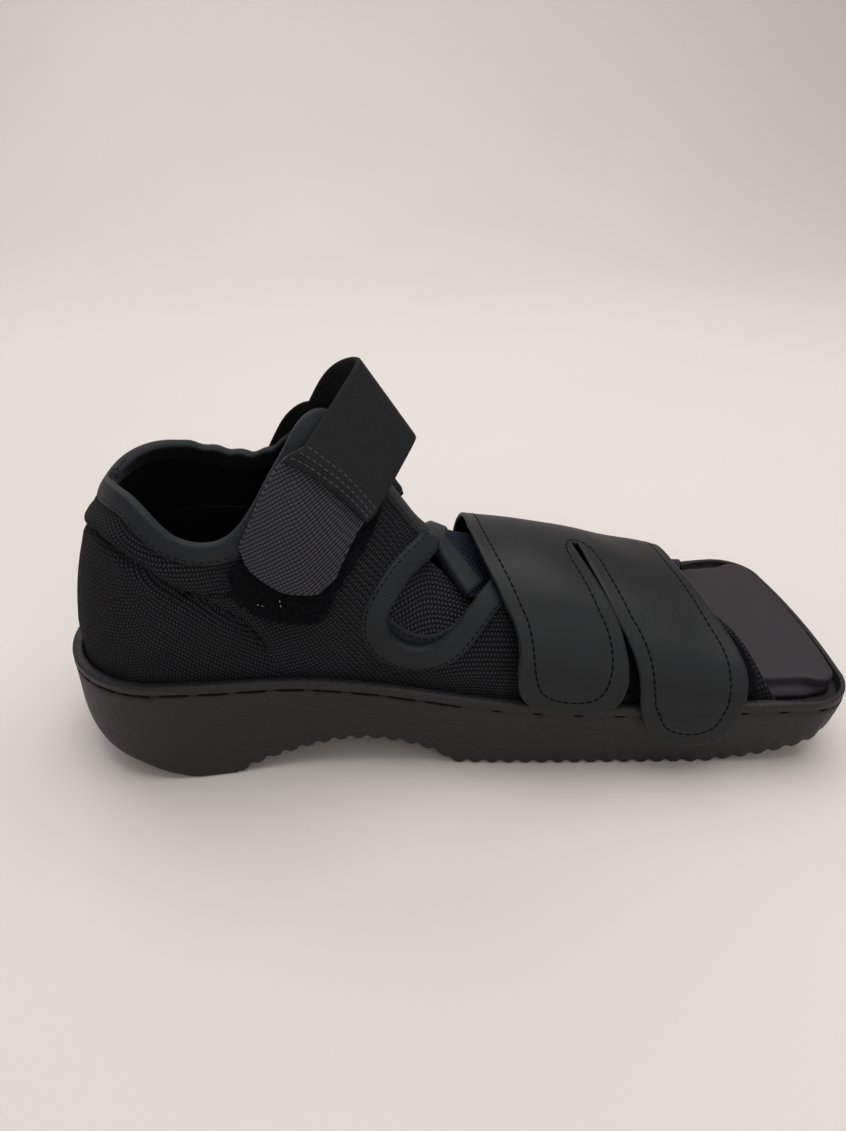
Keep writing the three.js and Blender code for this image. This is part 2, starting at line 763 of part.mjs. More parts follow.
// The heel counter is a step in the wall below its seam.
const counterSeam = smoothTable(["at", "turn"], [
  [0, 41],
  [0.075, 37],
  [0.131, 30.5],
  [0.188, 24.5],
  [0.223, 20.9],
  [0.261, 18],
  [0.302, 14.5],
  [0.328, 9.4],
  [0.348, 3],
]);
const SEAM_FADE = 7;
const SEAM_EDGE = 1;
const RIM_TURN = 5;
const OVER_RIM_TURN = 12;
const counterStep = (at, turn) => {
  const seam = counterSeam(Math.abs(at));
  const overRim = smoothstep(turn, RIM_TURN, OVER_RIM_TURN);
  return COUNTER_STEP * overRim * (1 - smoothstep(turn, seam - SEAM_FADE, seam - SEAM_EDGE));
};
// The tape bound over the collar's and the throat's edges is a step in the wall too.
const BINDING_ROOF = UPPER_WALL + BINDING_THICKNESS;
const upperOuter = (at, turn, raised) =>
  flapLift(at, turn) + counterStep(at, turn) + (raised ? BINDING_ROOF : UPPER_WALL);

function upper() {
  const nearFlap = flap(NEAR_FLAP_REAR, NEAR_FLAP_TOP, NEAR_FLAP_FRONT, NEAR_FLAP_ROWS);
  const farFlap = flap(FAR_FLAP_REAR, FAR_FLAP_TOP, FAR_FLAP_FRONT, FAR_FLAP_ROWS);
  const near = [...lowerBand, rearQuarter(NEAR_COLLAR, NEAR_THROAT_EDGE), nearFlap];
  const far = [...lowerBand, rearQuarter(FAR_COLLAR, FAR_THROAT_EDGE), farFlap];
  return clothSlab([...near, ...far.map(mirrored)], flapLift, upperOuter);
}

// The tongue lies under the wings and the flaps and closes the throat.
const TONGUE = patch({
  lower: edge([
    [0.405, 29],
    [0.44, 22],
    [0.484, 16.5],
    [0.509, 15],
    [0.532, 17.5],
    [0.556, 25],
    [0.583, 38],
  ]),
  upper: edge([
    [0.452, 98],
    [0.484, 94],
    [0.512, 84],
    [0.536, 72],
    [0.564, 65],
    [0.588, 54.4],
  ]),
  leading: line([0.405, 29], [0.452, 98]),
  trailing: line([0.583, 38], [0.588, 54.4]),
  columns: 14,
  rows: 7,
});
const tongue = () =>
  clothSlab(
    [TONGUE],
    () => -TONGUE_GAP - TONGUE_THICKNESS,
    () => -TONGUE_GAP,
  );

// Loop patch on the ankle wing, and the strap's hook tab on it.
const PATCH_BASE = UPPER_WALL + CLOTH_GAP;
const PATCH_TOP = PATCH_BASE + LOOP_PATCH_THICKNESS;
const HOOK_TAB_BASE = PATCH_TOP + CLOTH_GAP;
const HOOK_TAB_TOP = HOOK_TAB_BASE + HOOK_TAB_THICKNESS;
const ANKLE_PATCH = patch({
  lower: edge([
    [0.29, 24],
    [0.301, 18.5],
    [0.33, 15.6],
    [0.374, 14.6],
    [0.405, 16.8],
    [0.42, 23.5],
  ]),
  upper: edge([
    [0.436, 57],
    [0.455, 60],
    [0.47, 60],
  ]),
  leading: edge([
    [0.29, 24],
    [0.334, 29],
    [0.373, 36],
    [0.407, 46],
    [0.436, 57],
  ]),
  trailing: edge([
    [0.42, 23.5],
    [0.444, 35.8],
    [0.461, 48],
    [0.47, 60],
  ]),
  columns: 9,
  rows: 9,
});
const anklePatch = () =>
  clothSlab(
    [ANKLE_PATCH],
    () => PATCH_BASE,
    () => PATCH_TOP,
  );
const TAB_REAR_FOOT = [0.304, 29.6];
const TAB_FRONT_FOOT = [0.423, 29];
const TAB_REAR_TOP = [0.393, 53.5];
const TAB_FRONT_TOP = [0.458, 54.4];
const HOOK_TAB = patch({
  lower: edge([
    TAB_REAR_FOOT,
    [0.318, 25.8],
    [0.347, 22.8],
    [0.371, 21.7],
    [0.403, 23.4],
    TAB_FRONT_FOOT,
  ]),
  upper: line(TAB_REAR_TOP, TAB_FRONT_TOP),
  leading: line(TAB_REAR_FOOT, TAB_REAR_TOP),
  trailing: line(TAB_FRONT_FOOT, TAB_FRONT_TOP),
  columns: 7,
  rows: 7,
});
const hookTab = () =>
  clothSlab(
    [HOOK_TAB],
    () => HOOK_TAB_BASE,
    () => HOOK_TAB_TOP,
  );

// The forefoot: a loop patch on the near flap, and the strap whose two fingers close on it.
const FOREFOOT_PATCH = patch({
  lower: edge([
    [0.669, 17],
    [0.77, 15],
    [0.872, 15],
    [0.933, 17],
  ]),
  upper: edge([
    [0.649, 64],
    [0.73, 72],
    [0.811, 72],
    [0.874, 63],
  ]),
  leading: line([0.669, 17], [0.649, 64]),
  trailing: edge([
    [0.933, 17],
    [0.927, 32],
    [0.904, 50],
    [0.874, 63],
  ]),
  columns: 11,
  rows: 11,
});
const forefootPatch = () =>
  clothSlab(
    [FOREFOOT_PATCH],
    (at, turn) => flapLift(at, turn) + PATCH_BASE,
    (at, turn) => flapLift(at, turn) + PATCH_TOP,
  );
const STRAP_LIFT = FLAP_LIFT + PATCH_TOP + CLOTH_GAP;
const STRAP_FAR_LIFT = UPPER_WALL + CLOTH_GAP;
const STRAP_SINKS = 108;
const STRAP_LIES_LOW = 145;
const strapInner = (at, turn) =>
  lerp(STRAP_LIFT, STRAP_FAR_LIFT, smoothstep(turn, STRAP_SINKS, STRAP_LIES_LOW));
const FINGER_ROOT = 90;
const STRAP_END = 164;
const REAR_ROOT = [0.583, FINGER_ROOT];
const SLOT_REAR_ROOT = [0.714, FINGER_ROOT];
const SLOT_FRONT_ROOT = [0.728, FINGER_ROOT];
const FRONT_ROOT = [0.86, FINGER_ROOT];
const FINGER_COLUMNS = 8;
const REAR_FINGER_ROWS = 9;
const FRONT_FINGER_ROWS = 11;
const STRAP_BODY_ROWS = 9;
const rearFinger = patch({
  lower: edge([
    [0.639, 19],
    [0.646, 13.5],
    [0.66, 8.8],
    [0.685, 6.9],
    [0.715, 6.9],
    [0.741, 9.7],
    [0.757, 16],
    [0.765, 24],
  ]),
  upper: line(REAR_ROOT, SLOT_REAR_ROOT),
  leading: edge([
    [0.639, 19],
    [0.637, 26],
    [0.637, 33],
    [0.632, 41],
    [0.616, 55],
    [0.595, 72],
    REAR_ROOT,
  ]),
  trailing: edge([
    [0.765, 24],
    [0.764, 30],
    [0.76, 37],
    [0.752, 50],
    [0.735, 65],
    [0.72, 80],
    SLOT_REAR_ROOT,
  ]),
  columns: FINGER_COLUMNS,
  rows: REAR_FINGER_ROWS,
});
const frontFinger = patch({
  lower: edge([
    [0.79, 6],
    [0.795, -1],
    [0.804, -8],
    [0.821, -15.6],
    [0.843, -20.5],
    [0.866, -21.5],
    [0.886, -17],
    [0.9, -5],
    [0.907, 8],
  ]),
  upper: line(SLOT_FRONT_ROOT, FRONT_ROOT),
  leading: edge([
    [0.79, 6],
    [0.785, 19],
    [0.781, 26.5],
    [0.774, 33.5],
    [0.761, 45],
    [0.746, 60],
    [0.734, 75],
    SLOT_FRONT_ROOT,
  ]),
  trailing: edge([
    [0.907, 8],
    [0.909, 19],
    [0.909, 27],
    [0.904, 35],
    [0.895, 47],
    [0.881, 61],
    [0.868, 78],
    FRONT_ROOT,
  ]),
  columns: FINGER_COLUMNS,
  rows: FRONT_FINGER_ROWS,
});
const strapBody = (from, to, columns) =>
  patch({
    lower: line(from, to),
    upper: line([from[0], STRAP_END], [to[0], STRAP_END]),
    leading: line(from, [from[0], STRAP_END]),
    trailing: line(to, [to[0], STRAP_END]),
    columns,
    rows: STRAP_BODY_ROWS,
  });
const forefootStrap = () =>
  clothSlab(
    [
      rearFinger,
      frontFinger,
      strapBody(REAR_ROOT, SLOT_REAR_ROOT, FINGER_COLUMNS),
      strapBody(SLOT_REAR_ROOT, SLOT_FRONT_ROOT, 1),
      strapBody(SLOT_FRONT_ROOT, FRONT_ROOT, FINGER_COLUMNS),
    ],
    strapInner,
    (at, turn) => strapInner(at, turn) + FOREFOOT_STRAP_THICKNESS,
  );

// The ankle strap: a webbing band that leaves the hook tab, folds over above the ankle and is
// sewn down on the far wing. Its rows run across the band, from the rear edge to the front one.
const LOOP_DIRECTION = new THREE.Vector3(0.67, 0, 0.74);
const BOW_DIRECTION = new THREE.Vector3(-0.3, 0.5, 0.8);
const NEAR_SEWN_TURN = 48.5;
const FAR_SEWN_START = 49.5;
const FAR_SEWN_END = 26;
const APEX_ROUNDING = 0.16;
const LOOP_STEPS = 14;
const SEWN_STEPS = 3;
const WEB_COLUMNS = 3;
const webShares = Array.from({ length: WEB_COLUMNS + 1 }, (_, i) => i / WEB_COLUMNS);

// One row of the band on the last, as wide as the hook tab would be at that turn.
function webRow(turn, lift, side) {
  const share = (turn - TAB_REAR_FOOT[1]) / (TAB_REAR_TOP[1] - TAB_REAR_FOOT[1]);
  const rear = lerp(TAB_REAR_FOOT[0], TAB_REAR_TOP[0], share);
  const front = lerp(TAB_FRONT_FOOT[0], TAB_FRONT_TOP[0], share);
  return webShares.map((across) => skin(side * lerp(rear, front, across), turn, lift));
}

// Rows of the fold above the ankle: a hyperbola whose apex is nearly sharp, straight across the
// band and lower at the front. The far leg bows outwards.
function foldRows(near, far, thickness) {
  const fallAt = (t) => Math.hypot(t, APEX_ROUNDING) - APEX_ROUNDING;
  const middles = near.map((start, i) => start.clone().lerp(far[i], 0.5));
  return Array.from({ length: LOOP_STEPS - 1 }, (_, k) => {
    const t = (2 * (k + 1)) / LOOP_STEPS - 1;
    const risen = 1 - fallAt(t) / fallAt(1);
    const bow = ANKLE_LOOP_BOW * Math.sin(Math.PI * Math.max(t, 0));
    return near.map((start, i) => {
      const rise = ANKLE_LOOP_RISE + thickness - ANKLE_LOOP_FALL * webShares[i];
      const straight = middles[0].clone().lerp(middles[WEB_COLUMNS], webShares[i]).sub(middles[i]);
      return start
        .clone()
        .lerp(far[i], (1 + t) / 2)
        .addScaledVector(straight, risen)
        .addScaledVector(LOOP_DIRECTION, rise * risen)
        .addScaledVector(BOW_DIRECTION, bow);
    });
  });
}

function webFace(thickness) {
  const nearLift = HOOK_TAB_TOP + SEWN_GAP + thickness;
  const farLift = BINDING_ROOF + SEWN_GAP + thickness;
  const near = webRow(TAB_REAR_TOP[1], nearLift, 1);
  const far = webRow(TAB_REAR_TOP[1], farLift, -1);
  const sewn = Array.from({ length: SEWN_STEPS + 1 }, (_, k) =>
    webRow(lerp(FAR_SEWN_START, FAR_SEWN_END, k / SEWN_STEPS), farLift, -1),
  );
  return [webRow(NEAR_SEWN_TURN, nearLift, 1), near, ...foldRows(near, far, thickness), far, ...sewn];
}

function ankleStrap() {
  const inside = webFace(0);
  const outside = webFace(WEBBING_THICKNESS);
  const grid = webShares.map((_, i) => inside.map((_, k) => [k, i]));
  return slab(
    [grid],
    (k, i) => inside[k][i],
    (k, i) => outside[k][i],
  );
}

const root = new THREE.Group();
const body = new THREE.Group();
body.position.x = -HEEL_SEAT;
root.add(body);
function add(name, geometry, colour, roughness) {
  const material = new THREE.MeshStandardMaterial({ color: colour, roughness, metalness: 0 });
  const mesh = new THREE.Mesh(geometry, material);
  mesh.name = name;
  body.add(mesh);
}
add("outsole", outsole(), COLOURS.rubber, 0.75);
add("insole", insole(), COLOURS.foam, 0.8);
add("upper", upper(), COLOURS.mesh, 0.95);
add("tongue", tongue(), COLOURS.mesh, 0.95);
add("ankle_loop_patch", anklePatch(), COLOURS.loop, 1);
add("hook_tab", hookTab(), COLOURS.hook, 0.9);
add("ankle_strap", ankleStrap(), COLOURS.webbing, 0.85);
add("forefoot_loop_patch", forefootPatch(), COLOURS.loop, 1);
add("forefoot_strap", forefootStrap(), COLOURS.strap, 0.55);

export default root;
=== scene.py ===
# %% [markdown]
# A post operative shoe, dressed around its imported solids.
# The real shoe has a foamed rocker sole, an open mesh upper that is bound with tape, a strap of
# coated fabric with two fingers over the forefoot, and a webbing strap over the ankle.
# Every cloth piece is drawn as a flat pattern on a last, which is the way a shoemaker works, so
# this file starts with the last and then lays one piece after another on it.

# %% Load the fixed frame
import math

import bpy
import numpy as np
from mathutils import Matrix, Vector


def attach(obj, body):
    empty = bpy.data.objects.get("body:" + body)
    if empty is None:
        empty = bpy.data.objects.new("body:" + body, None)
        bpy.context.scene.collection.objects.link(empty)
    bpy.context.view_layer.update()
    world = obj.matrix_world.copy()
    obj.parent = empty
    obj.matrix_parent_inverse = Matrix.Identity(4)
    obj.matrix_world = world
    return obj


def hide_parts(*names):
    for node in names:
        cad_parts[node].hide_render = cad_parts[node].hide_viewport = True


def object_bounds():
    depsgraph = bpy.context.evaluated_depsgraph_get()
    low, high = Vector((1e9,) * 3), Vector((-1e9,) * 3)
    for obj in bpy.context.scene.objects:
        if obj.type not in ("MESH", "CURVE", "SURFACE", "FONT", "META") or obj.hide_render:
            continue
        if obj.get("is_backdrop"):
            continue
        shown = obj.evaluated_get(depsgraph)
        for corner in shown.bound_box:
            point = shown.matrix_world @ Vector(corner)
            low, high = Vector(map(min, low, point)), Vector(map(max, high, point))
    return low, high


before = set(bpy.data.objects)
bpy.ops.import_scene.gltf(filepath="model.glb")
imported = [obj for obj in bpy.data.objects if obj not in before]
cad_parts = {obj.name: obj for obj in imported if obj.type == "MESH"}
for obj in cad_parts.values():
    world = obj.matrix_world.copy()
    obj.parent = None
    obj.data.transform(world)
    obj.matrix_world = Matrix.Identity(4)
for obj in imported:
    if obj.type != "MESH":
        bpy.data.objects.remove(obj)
cad_box = [list(corner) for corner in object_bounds()]
print("nodes:", sorted(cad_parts))

# %% [markdown]
# Sizes come first. They are the same named values as in the part's source, in millimetres, so
# that each dressed piece falls on its solid. Metres are only used when a mesh is made.

# %% Sizes in millimetres
SOLE_LENGTH = 296.0
HEEL_WIDTH, TOE_WIDTH = 82.0, 107.6
HEEL_HEIGHT, TOE_HEIGHT = 43.5, 29.0
TOE_CORNER, TOE_BOW = 19.0, 2.0
RIM_WALL, TOE_RIM_WALL, TRAY_DEPTH = 4.0, 2.0, 5.0
FOREFOOT_TAPER, HEEL_FLARE = 2.5, 1.5
RIB_PITCH, RIB_DEPTH = 6.5, 1.5
GROOVE_DROP, GROOVE_HEIGHT, GROOVE_DEPTH = 3.3, 1.0, 0.9
INSOLE_THICKNESS = 7.5
ANKLE_RISE = 118.0
WALL = 3.0
CLEARANCE, CLOTH_GAP, TONGUE_GAP = 0.3, 0.5, 1.0
TAPE = 0.8
HEEL_CENTRE = 0.1385 * SOLE_LENGTH
HEEL_SEAT = 0.189 * SOLE_LENGTH
HEEL_GIRTH = 0.2095 * SOLE_LENGTH
MM = 0.001
print("sole", SOLE_LENGTH, "mm long, heel seat", round(HEEL_SEAT, 1), "mm from its back")


# %% [markdown]
# A shoe's outlines are smooth, so each is kept as a short table of points with a curve through
# them. One kind of curve never overshoots its points and serves for heights and widths. The other
# one is a Catmull-Rom spline, which serves for the edges of the cloth patterns.

# %% Curves through tables
def smooth_table(rows):
    knots = np.array(rows, float)
    x, y = knots[:, 0], knots[:, 1]
    slope = np.diff(y) / np.diff(x)
    before = np.concatenate([slope[:1], slope])
    after = np.concatenate([slope, slope[-1:]])
    total = np.where(np.abs(before + after) < 1e-12, 1, before + after)
    tangent = np.where(before * after <= 0, 0, 2 * before * after / total)

    def value(at):
        at = np.asarray(at, float)
        i = np.clip(np.searchsorted(x, at, side="right") - 1, 0, len(x) - 2)
        span = x[i + 1] - x[i]
        t = np.clip((at - x[i]) / span, 0, 1)
        return (
            (1 + 2 * t) * (1 - t) ** 2 * y[i]
            + t * (1 - t) ** 2 * span * tangent[i]
            + t * t * (3 - 2 * t) * y[i + 1]
            + t * t * (t - 1) * span * tangent[i + 1]
        )

    return value


def edge(rows):
    points = np.array(rows, float)
    last = len(points) - 1

    def value(share):
        p = np.asarray(share, float) * last
        i = np.clip(np.floor(p).astype(int), 0, last)
        t = (p - i)[..., None]
        p0, p1 = points[np.maximum(i - 1, 0)], points[i]
        p2, p3 = points[np.minimum(i + 1, last)], points[np.minimum(i + 2, last)]
        v0, v1 = (p2 - p0) / 2, (p3 - p1) / 2
        return (2 * p1 - 2 * p2 + v0 + v1) * t**3 + (-3 * p1 + 3 * p2 - 2 * v0 - v1) * t**2 + v0 * t + p1

    return value


def line(start, end):
    start, end = np.array(start, float), np.array(end, float)
    return lambda share: start + (end - start) * np.asarray(share, float)[..., None]


def smoothstep(x, low, high):
    t = np.clip((np.asarray(x, float) - low) / (high - low), 0, 1)
    return t * t * (3 - 2 * t)


print("a curve through two points, halfway:", smooth_table([(0, 0), (1, 2)])(0.5))


# %% [markdown]
# The sole's outlines were read off the photograph through the fitted camera. Each is kept as
# shares of the length and the height, so that one size can change without spoiling the rest.

# %% Outlines of the sole, as shares of its length
width_spread = smooth_table(
    [(0.118, 0), (0.159, -0.01), (0.189, -0.06), (0.298, -0.27), (0.365, -0.16), (0.446, 0.08)]
    + [(0.544, 0.35), (0.696, 0.62), (0.848, 0.86), (0.926, 0.96), (1, 1)]
)
rim_drop = smooth_table(
    [(0, 0.03), (0.054, 0), (0.135, 0.01), (0.209, 0.1), (0.291, 0.21), (0.369, 0.34), (0.45, 0.54)]
    + [(0.5, 0.7), (0.571, 0.86), (0.693, 1), (0.777, 1), (0.848, 0.945), (0.922, 0.915), (1, 0.895)]
)
HEEL_CURVE = [(0, 0.69), (0.009, 0.55), (0.022, 0.41), (0.04, 0.3), (0.063, 0.23), (0.097, 0.16)]
HEEL_CURVE += [(0.125, 0.08), (0.153, 0.015), (0.169, 0)]
ARCH_CURVE = [(0.213, 0), (0.243, 0.092), (0.277, 0.161), (0.314, 0.23), (0.348, 0.272)]
ARCH_CURVE += [(0.385, 0.272), (0.422, 0.23), (0.46, 0.138), (0.49, 0)]
TOE_CURVE = [(0.81, 0), (0.865, 0.057), (0.906, 0.126), (0.939, 0.207), (0.967, 0.3), (0.982, 0.42)]
ridge_rise = smooth_table(
    [(0.139, 1), (0.189, 1.008), (0.257, 0.986), (0.308, 0.943), (0.344, 0.856), (0.385, 0.69)]
    + [(0.429, 0.517), (0.473, 0.39), (0.51, 0.361), (0.612, 0.333), (0.75, 0.243), (0.831, 0.178)]
    + [(0.899, 0.132)]
)


def half_width(x):
    return HEEL_WIDTH / 2 + (TOE_WIDTH - HEEL_WIDTH) / 2 * width_spread(x / SOLE_LENGTH)


def rim_height(x):
    return HEEL_HEIGHT + (TOE_HEIGHT - HEEL_HEIGHT) * rim_drop(x / SOLE_LENGTH)


def tray_floor(x):
    return rim_height(x) - TRAY_DEPTH


print("tray floor", tray_floor(0.0), "mm high at the heel,", tray_floor(SOLE_LENGTH).round(2), "at the toe")

# %% [markdown]
# The last is the shape of the foot that the upper is pulled over. A place on it has two numbers:
# how far along the sole's edge it is (at, a share of the sole's length, negative on the far side)
# and how far round the foot it is (turn, in degrees: 0 at the sole, 90 on the ridge). A third one,
# the offset, lifts a point off the skin, so that each layer of cloth lies on the one below.

# %% The last
UPPER_INSET = RIM_WALL + CLOTH_GAP + WALL
HEEL_BACK_RISE, HEEL_FULLNESS, SIDE_FULLNESS = 0.67, 0.31, 0.92
HEEL_LEAN, LEAN_FADE = 0.057 * SOLE_LENGTH, 0.169 * SOLE_LENGTH
LEAN_RISE, LEAN_POWER = 0.585, 1.5
SIDE_SWELL, SWELL_START, SWELL_END = 2.0, 6.0, 50.0


def swell(turn):
    share = np.clip((turn - SWELL_START) / (SWELL_END - SWELL_START), 0, 1)
    return np.sin(np.pi * share) ** 2


def last_point(station, turn):
    station, turn = np.broadcast_arrays(np.asarray(station, float), np.asarray(turn, float))
    forward = np.maximum(np.abs(station) - HEEL_GIRTH, 0)
    round_heel = np.clip(station / HEEL_GIRTH, -1, 1) * (np.pi / 2)
    sideways = np.sin(round_heel) ** 2
    beside = HEEL_CENTRE + forward
    back_radius = HEEL_CENTRE - UPPER_INSET
    side_radius = np.where(forward > 0, half_width(beside), HEEL_WIDTH / 2) - UPPER_INSET
    base = tray_floor(beside - back_radius * np.cos(round_heel)) + CLEARANCE
    share = HEEL_BACK_RISE + (ridge_rise(beside / SOLE_LENGTH) - HEEL_BACK_RISE) * sideways
    angle = np.radians(turn)
    above = np.maximum(angle, 0)
    height = share * ANKLE_RISE * (np.sin(above) + np.minimum(angle, 0))
    cosine = np.cos(above)
    backwards = back_radius * np.sign(cosine) * np.abs(cosine) ** HEEL_FULLNESS * np.cos(round_heel)
    across = side_radius * np.sign(cosine) * np.abs(cosine) ** SIDE_FULLNESS
    across = (across + SIDE_SWELL * (swell(turn) - swell(180 - turn))) * np.sin(round_heel)
    climbed = np.clip((height - TRAY_DEPTH) / (LEAN_RISE * ANKLE_RISE), 0, 1)
    lean = HEEL_LEAN * climbed**LEAN_POWER * (1 - smoothstep(forward, 0, LEAN_FADE))
    return np.stack([beside + lean - backwards, -across, base + height], -1)


NUDGE = 0.4


def along_and_up(at, turn):
    station = at * SOLE_LENGTH
    along = (last_point(station + NUDGE, turn) - last_point(station - NUDGE, turn)) / (2 * NUDGE)
    up = (last_point(station, turn + NUDGE) - last_point(station, turn - NUDGE)) / (2 * NUDGE)
    return along, up


def normal_at(at, turn):
    along, up = along_and_up(at, turn)
    normal = np.cross(along, up)
    return normal / np.linalg.norm(normal, axis=-1, keepdims=True)


def skin(at, turn, offset):
    at, turn = np.asarray(at, float), np.asarray(turn, float)
    offset = np.asarray(offset, float)[..., None]
    return last_point(at * SOLE_LENGTH, turn) + normal_at(at, turn) * offset


print("ridge over the ankle at", skin(0.3, 90, 0).round(1))


# %% [markdown]
# A pattern piece is a grid between four edges that meet at their corners (a Coons patch). Besides
# its two pattern numbers each grid point keeps real lengths: how far it is from the upper edge
# and from the trailing one, and how far round and up it lies, which becomes its UV map. A weave
# that is drawn on such a UV map has the right size in millimetres and follows the cloth.

# %% Pattern pieces as grids
def patch(lower, upper, leading, trailing, columns, rows):
    c = np.linspace(0, 1, columns + 1)[:, None]
    v = np.linspace(0, 1, rows + 1)[None, :]
    c, v = np.broadcast_arrays(c, v)
    a, b, d, e = lower(0.0), lower(1.0), upper(0.0), upper(1.0)
    cc, vv = c[..., None], v[..., None]
    return (
        lower(c) * (1 - vv) + upper(c) * vv + leading(v) * (1 - cc) + trailing(v) * cc
        - a * (1 - cc) * (1 - vv) - b * cc * (1 - vv) - d * (1 - cc) * vv - e * cc * vv
    )


def mirrored(grid):
    return (grid * [-1, 1])[::-1]


def measured(grid):
    """Grid points with, in millimetres, their distances from the upper, trailing and leading edges."""
    place = skin(grid[..., 0], grid[..., 1], 0)
    rise = np.linalg.norm(np.diff(place, axis=1), axis=-1)
    run = np.linalg.norm(np.diff(place, axis=0), axis=-1)
    from_top = np.concatenate([np.cumsum(rise[:, ::-1], 1)[:, ::-1], np.zeros((len(grid), 1))], 1)
    zero = np.zeros((1, grid.shape[1]))
    from_end = np.concatenate([np.cumsum(run[::-1], 0)[::-1], zero], 0)
    from_start = np.concatenate([zero, np.cumsum(run, 0)], 0)
    return from_top, from_end, from_start


LOWEST_TURN, HIGHEST_TURN, PER_DEGREE, EACH_WAY = -40, 180, 2, 200
TURNS = np.linspace(LOWEST_TURN, HIGHEST_TURN, (HIGHEST_TURN - LOWEST_TURN) * PER_DEGREE + 1)
STATIONS = np.linspace(-1, 1, 2 * EACH_WAY + 1)
skin_table = last_point((STATIONS * SOLE_LENGTH)[:, None], TURNS[None, :])
skin_steps = np.linalg.norm(np.diff(skin_table, axis=1), axis=-1)
RISE_TABLE = np.concatenate([np.zeros((len(STATIONS), 1)), np.cumsum(skin_steps, 1)], 1)


def cloth_uv(at, turn):
    """Millimetres along the sole's edge and up the skin."""
    i = np.clip((at + 1) * EACH_WAY, 0, len(STATIONS) - 1.001)
    j = np.clip((turn - LOWEST_TURN) * PER_DEGREE, 0, len(TURNS) - 1.001)
    i0, j0 = i.astype(int), j.astype(int)
    s, t = i - i0, j - j0
    low = RISE_TABLE[i0, j0] * (1 - t) + RISE_TABLE[i0, j0 + 1] * t
    high = RISE_TABLE[i0 + 1, j0] * (1 - t) + RISE_TABLE[i0 + 1, j0 + 1] * t
    return np.stack([at * SOLE_LENGTH, low * (1 - s) + high * s], -1)


print("round the skin at the instep:", RISE_TABLE[-80, -1].round(1), "mm")


# %% [markdown]
# Every mesh goes through one function, which takes points in the last's millimetres and moves
# them into the part's frame in metres. A cloth piece is a closed slab: an outer face, an inner
# face and a half-round edge between them.

# %% Meshes
def make_mesh(name, points, faces, uvs=None, materials=(), face_material=None):
    place = (np.asarray(points, float) - [HEEL_SEAT, 0, 0]) * MM
    mesh = bpy.data.meshes.new(name)
    mesh.from_pydata(place.tolist(), [], [list(map(int, f)) for f in faces])
    if uvs is not None:
        layer = mesh.uv_layers.new(name="UVMap")
        corner = np.zeros(len(mesh.loops), np.int64)
        mesh.loops.foreach_get("vertex_index", corner)
        layer.data.foreach_set("uv", np.asarray(uvs, np.float32)[corner].ravel())
    for material in materials:
        mesh.materials.append(material)
    if face_material is not None:
        mesh.polygons.foreach_set("material_index", np.asarray(face_material, np.int32))
    mesh.polygons.foreach_set("use_smooth", np.full(len(mesh.polygons), True))
    mesh.update()
    piece = bpy.data.objects.new(name, mesh)
    bpy.context.scene.collection.objects.link(piece)
    return piece


def add_piece(piece, replaced=()):
    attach(piece, "root")
    if replaced:
        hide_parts(*replaced)
    print(f"{piece.name}: {sum(len(p.vertices) - 2 for p in piece.data.polygons)} triangles")
    return piece


print("meshes are made in metres, with the origin under the heel seat")

# %% [markdown]
# A slab is made in three steps. Grids that share an edge are joined into one sheet. Its free edges
# are found: they are the ones that only one face uses. Then the sheet is laid twice, outside and
# inside, and a few rows of points round off the edge between the two. Blender's Solidify modifier
# could thicken a sheet too, but here both faces have heights of their own at every point.

# %% Sheets from grids
def grid_quads(index):
    """Faces of a grid of point numbers, as rows of four."""
    quads = np.stack([index[:-1, :-1], index[1:, :-1], index[1:, 1:], index[:-1, 1:]], -1)
    return quads.reshape(-1, 4)


def joined_grids(grids, inner, outer):
    ats = np.concatenate([g[..., 0].ravel() for g in grids])
    turns = np.concatenate([g[..., 1].ravel() for g in grids])
    low = np.concatenate([np.broadcast_to(o, g.shape[:2]).ravel() for o, g in zip(inner, grids)])
    high = np.concatenate([np.broadcast_to(o, g.shape[:2]).ravel() for o, g in zip(outer, grids)])
    keys = np.stack([np.round(ats * 1e5), np.round(turns * 1e3)], -1)
    _, first, ids = np.unique(keys, axis=0, return_index=True, return_inverse=True)
    ids, cells, start = ids.ravel(), [], 0
    for g in grids:
        count = g.shape[0] * g.shape[1]
        cells.append(grid_quads(ids[start : start + count].reshape(g.shape[:2])))
        start += count
    return ats[first], turns[first], low[first], high[first], np.concatenate(cells)


def free_edges(cells):
    free = {}
    for cell in cells.tolist():
        for k in range(4):
            p, q = cell[k], cell[(k + 1) % 4]
            if (q, p) in free:
                del free[(q, p)]
            else:
                free[(p, q)] = True
    return list(free)


def ways_out(outside, inside, free):
    """The points on a free edge, and for each the direction that leaves the cloth."""
    outward = np.zeros(outside.shape)
    for p, q in free:
        side = np.cross(outside[q] - outside[p], outside[p] - inside[p])
        side /= max(np.linalg.norm(side), 1e-9)
        outward[p] += side
        outward[q] += side
    length = np.linalg.norm(outward, axis=1)
    rim = np.nonzero(length > 1e-6)[0]
    return rim, outward[rim] / length[rim][:, None]


one_face = np.array([[0, 1, 2, 3]])
print("a single face has", len(free_edges(one_face)), "free edges")

# %% [markdown]
# The slab itself keeps a UV map in millimetres and a material for each face: one outside, one
# inside, and on the upper also one for each zone of cloth.

# %% Slabs
EDGE_STEPS = 3


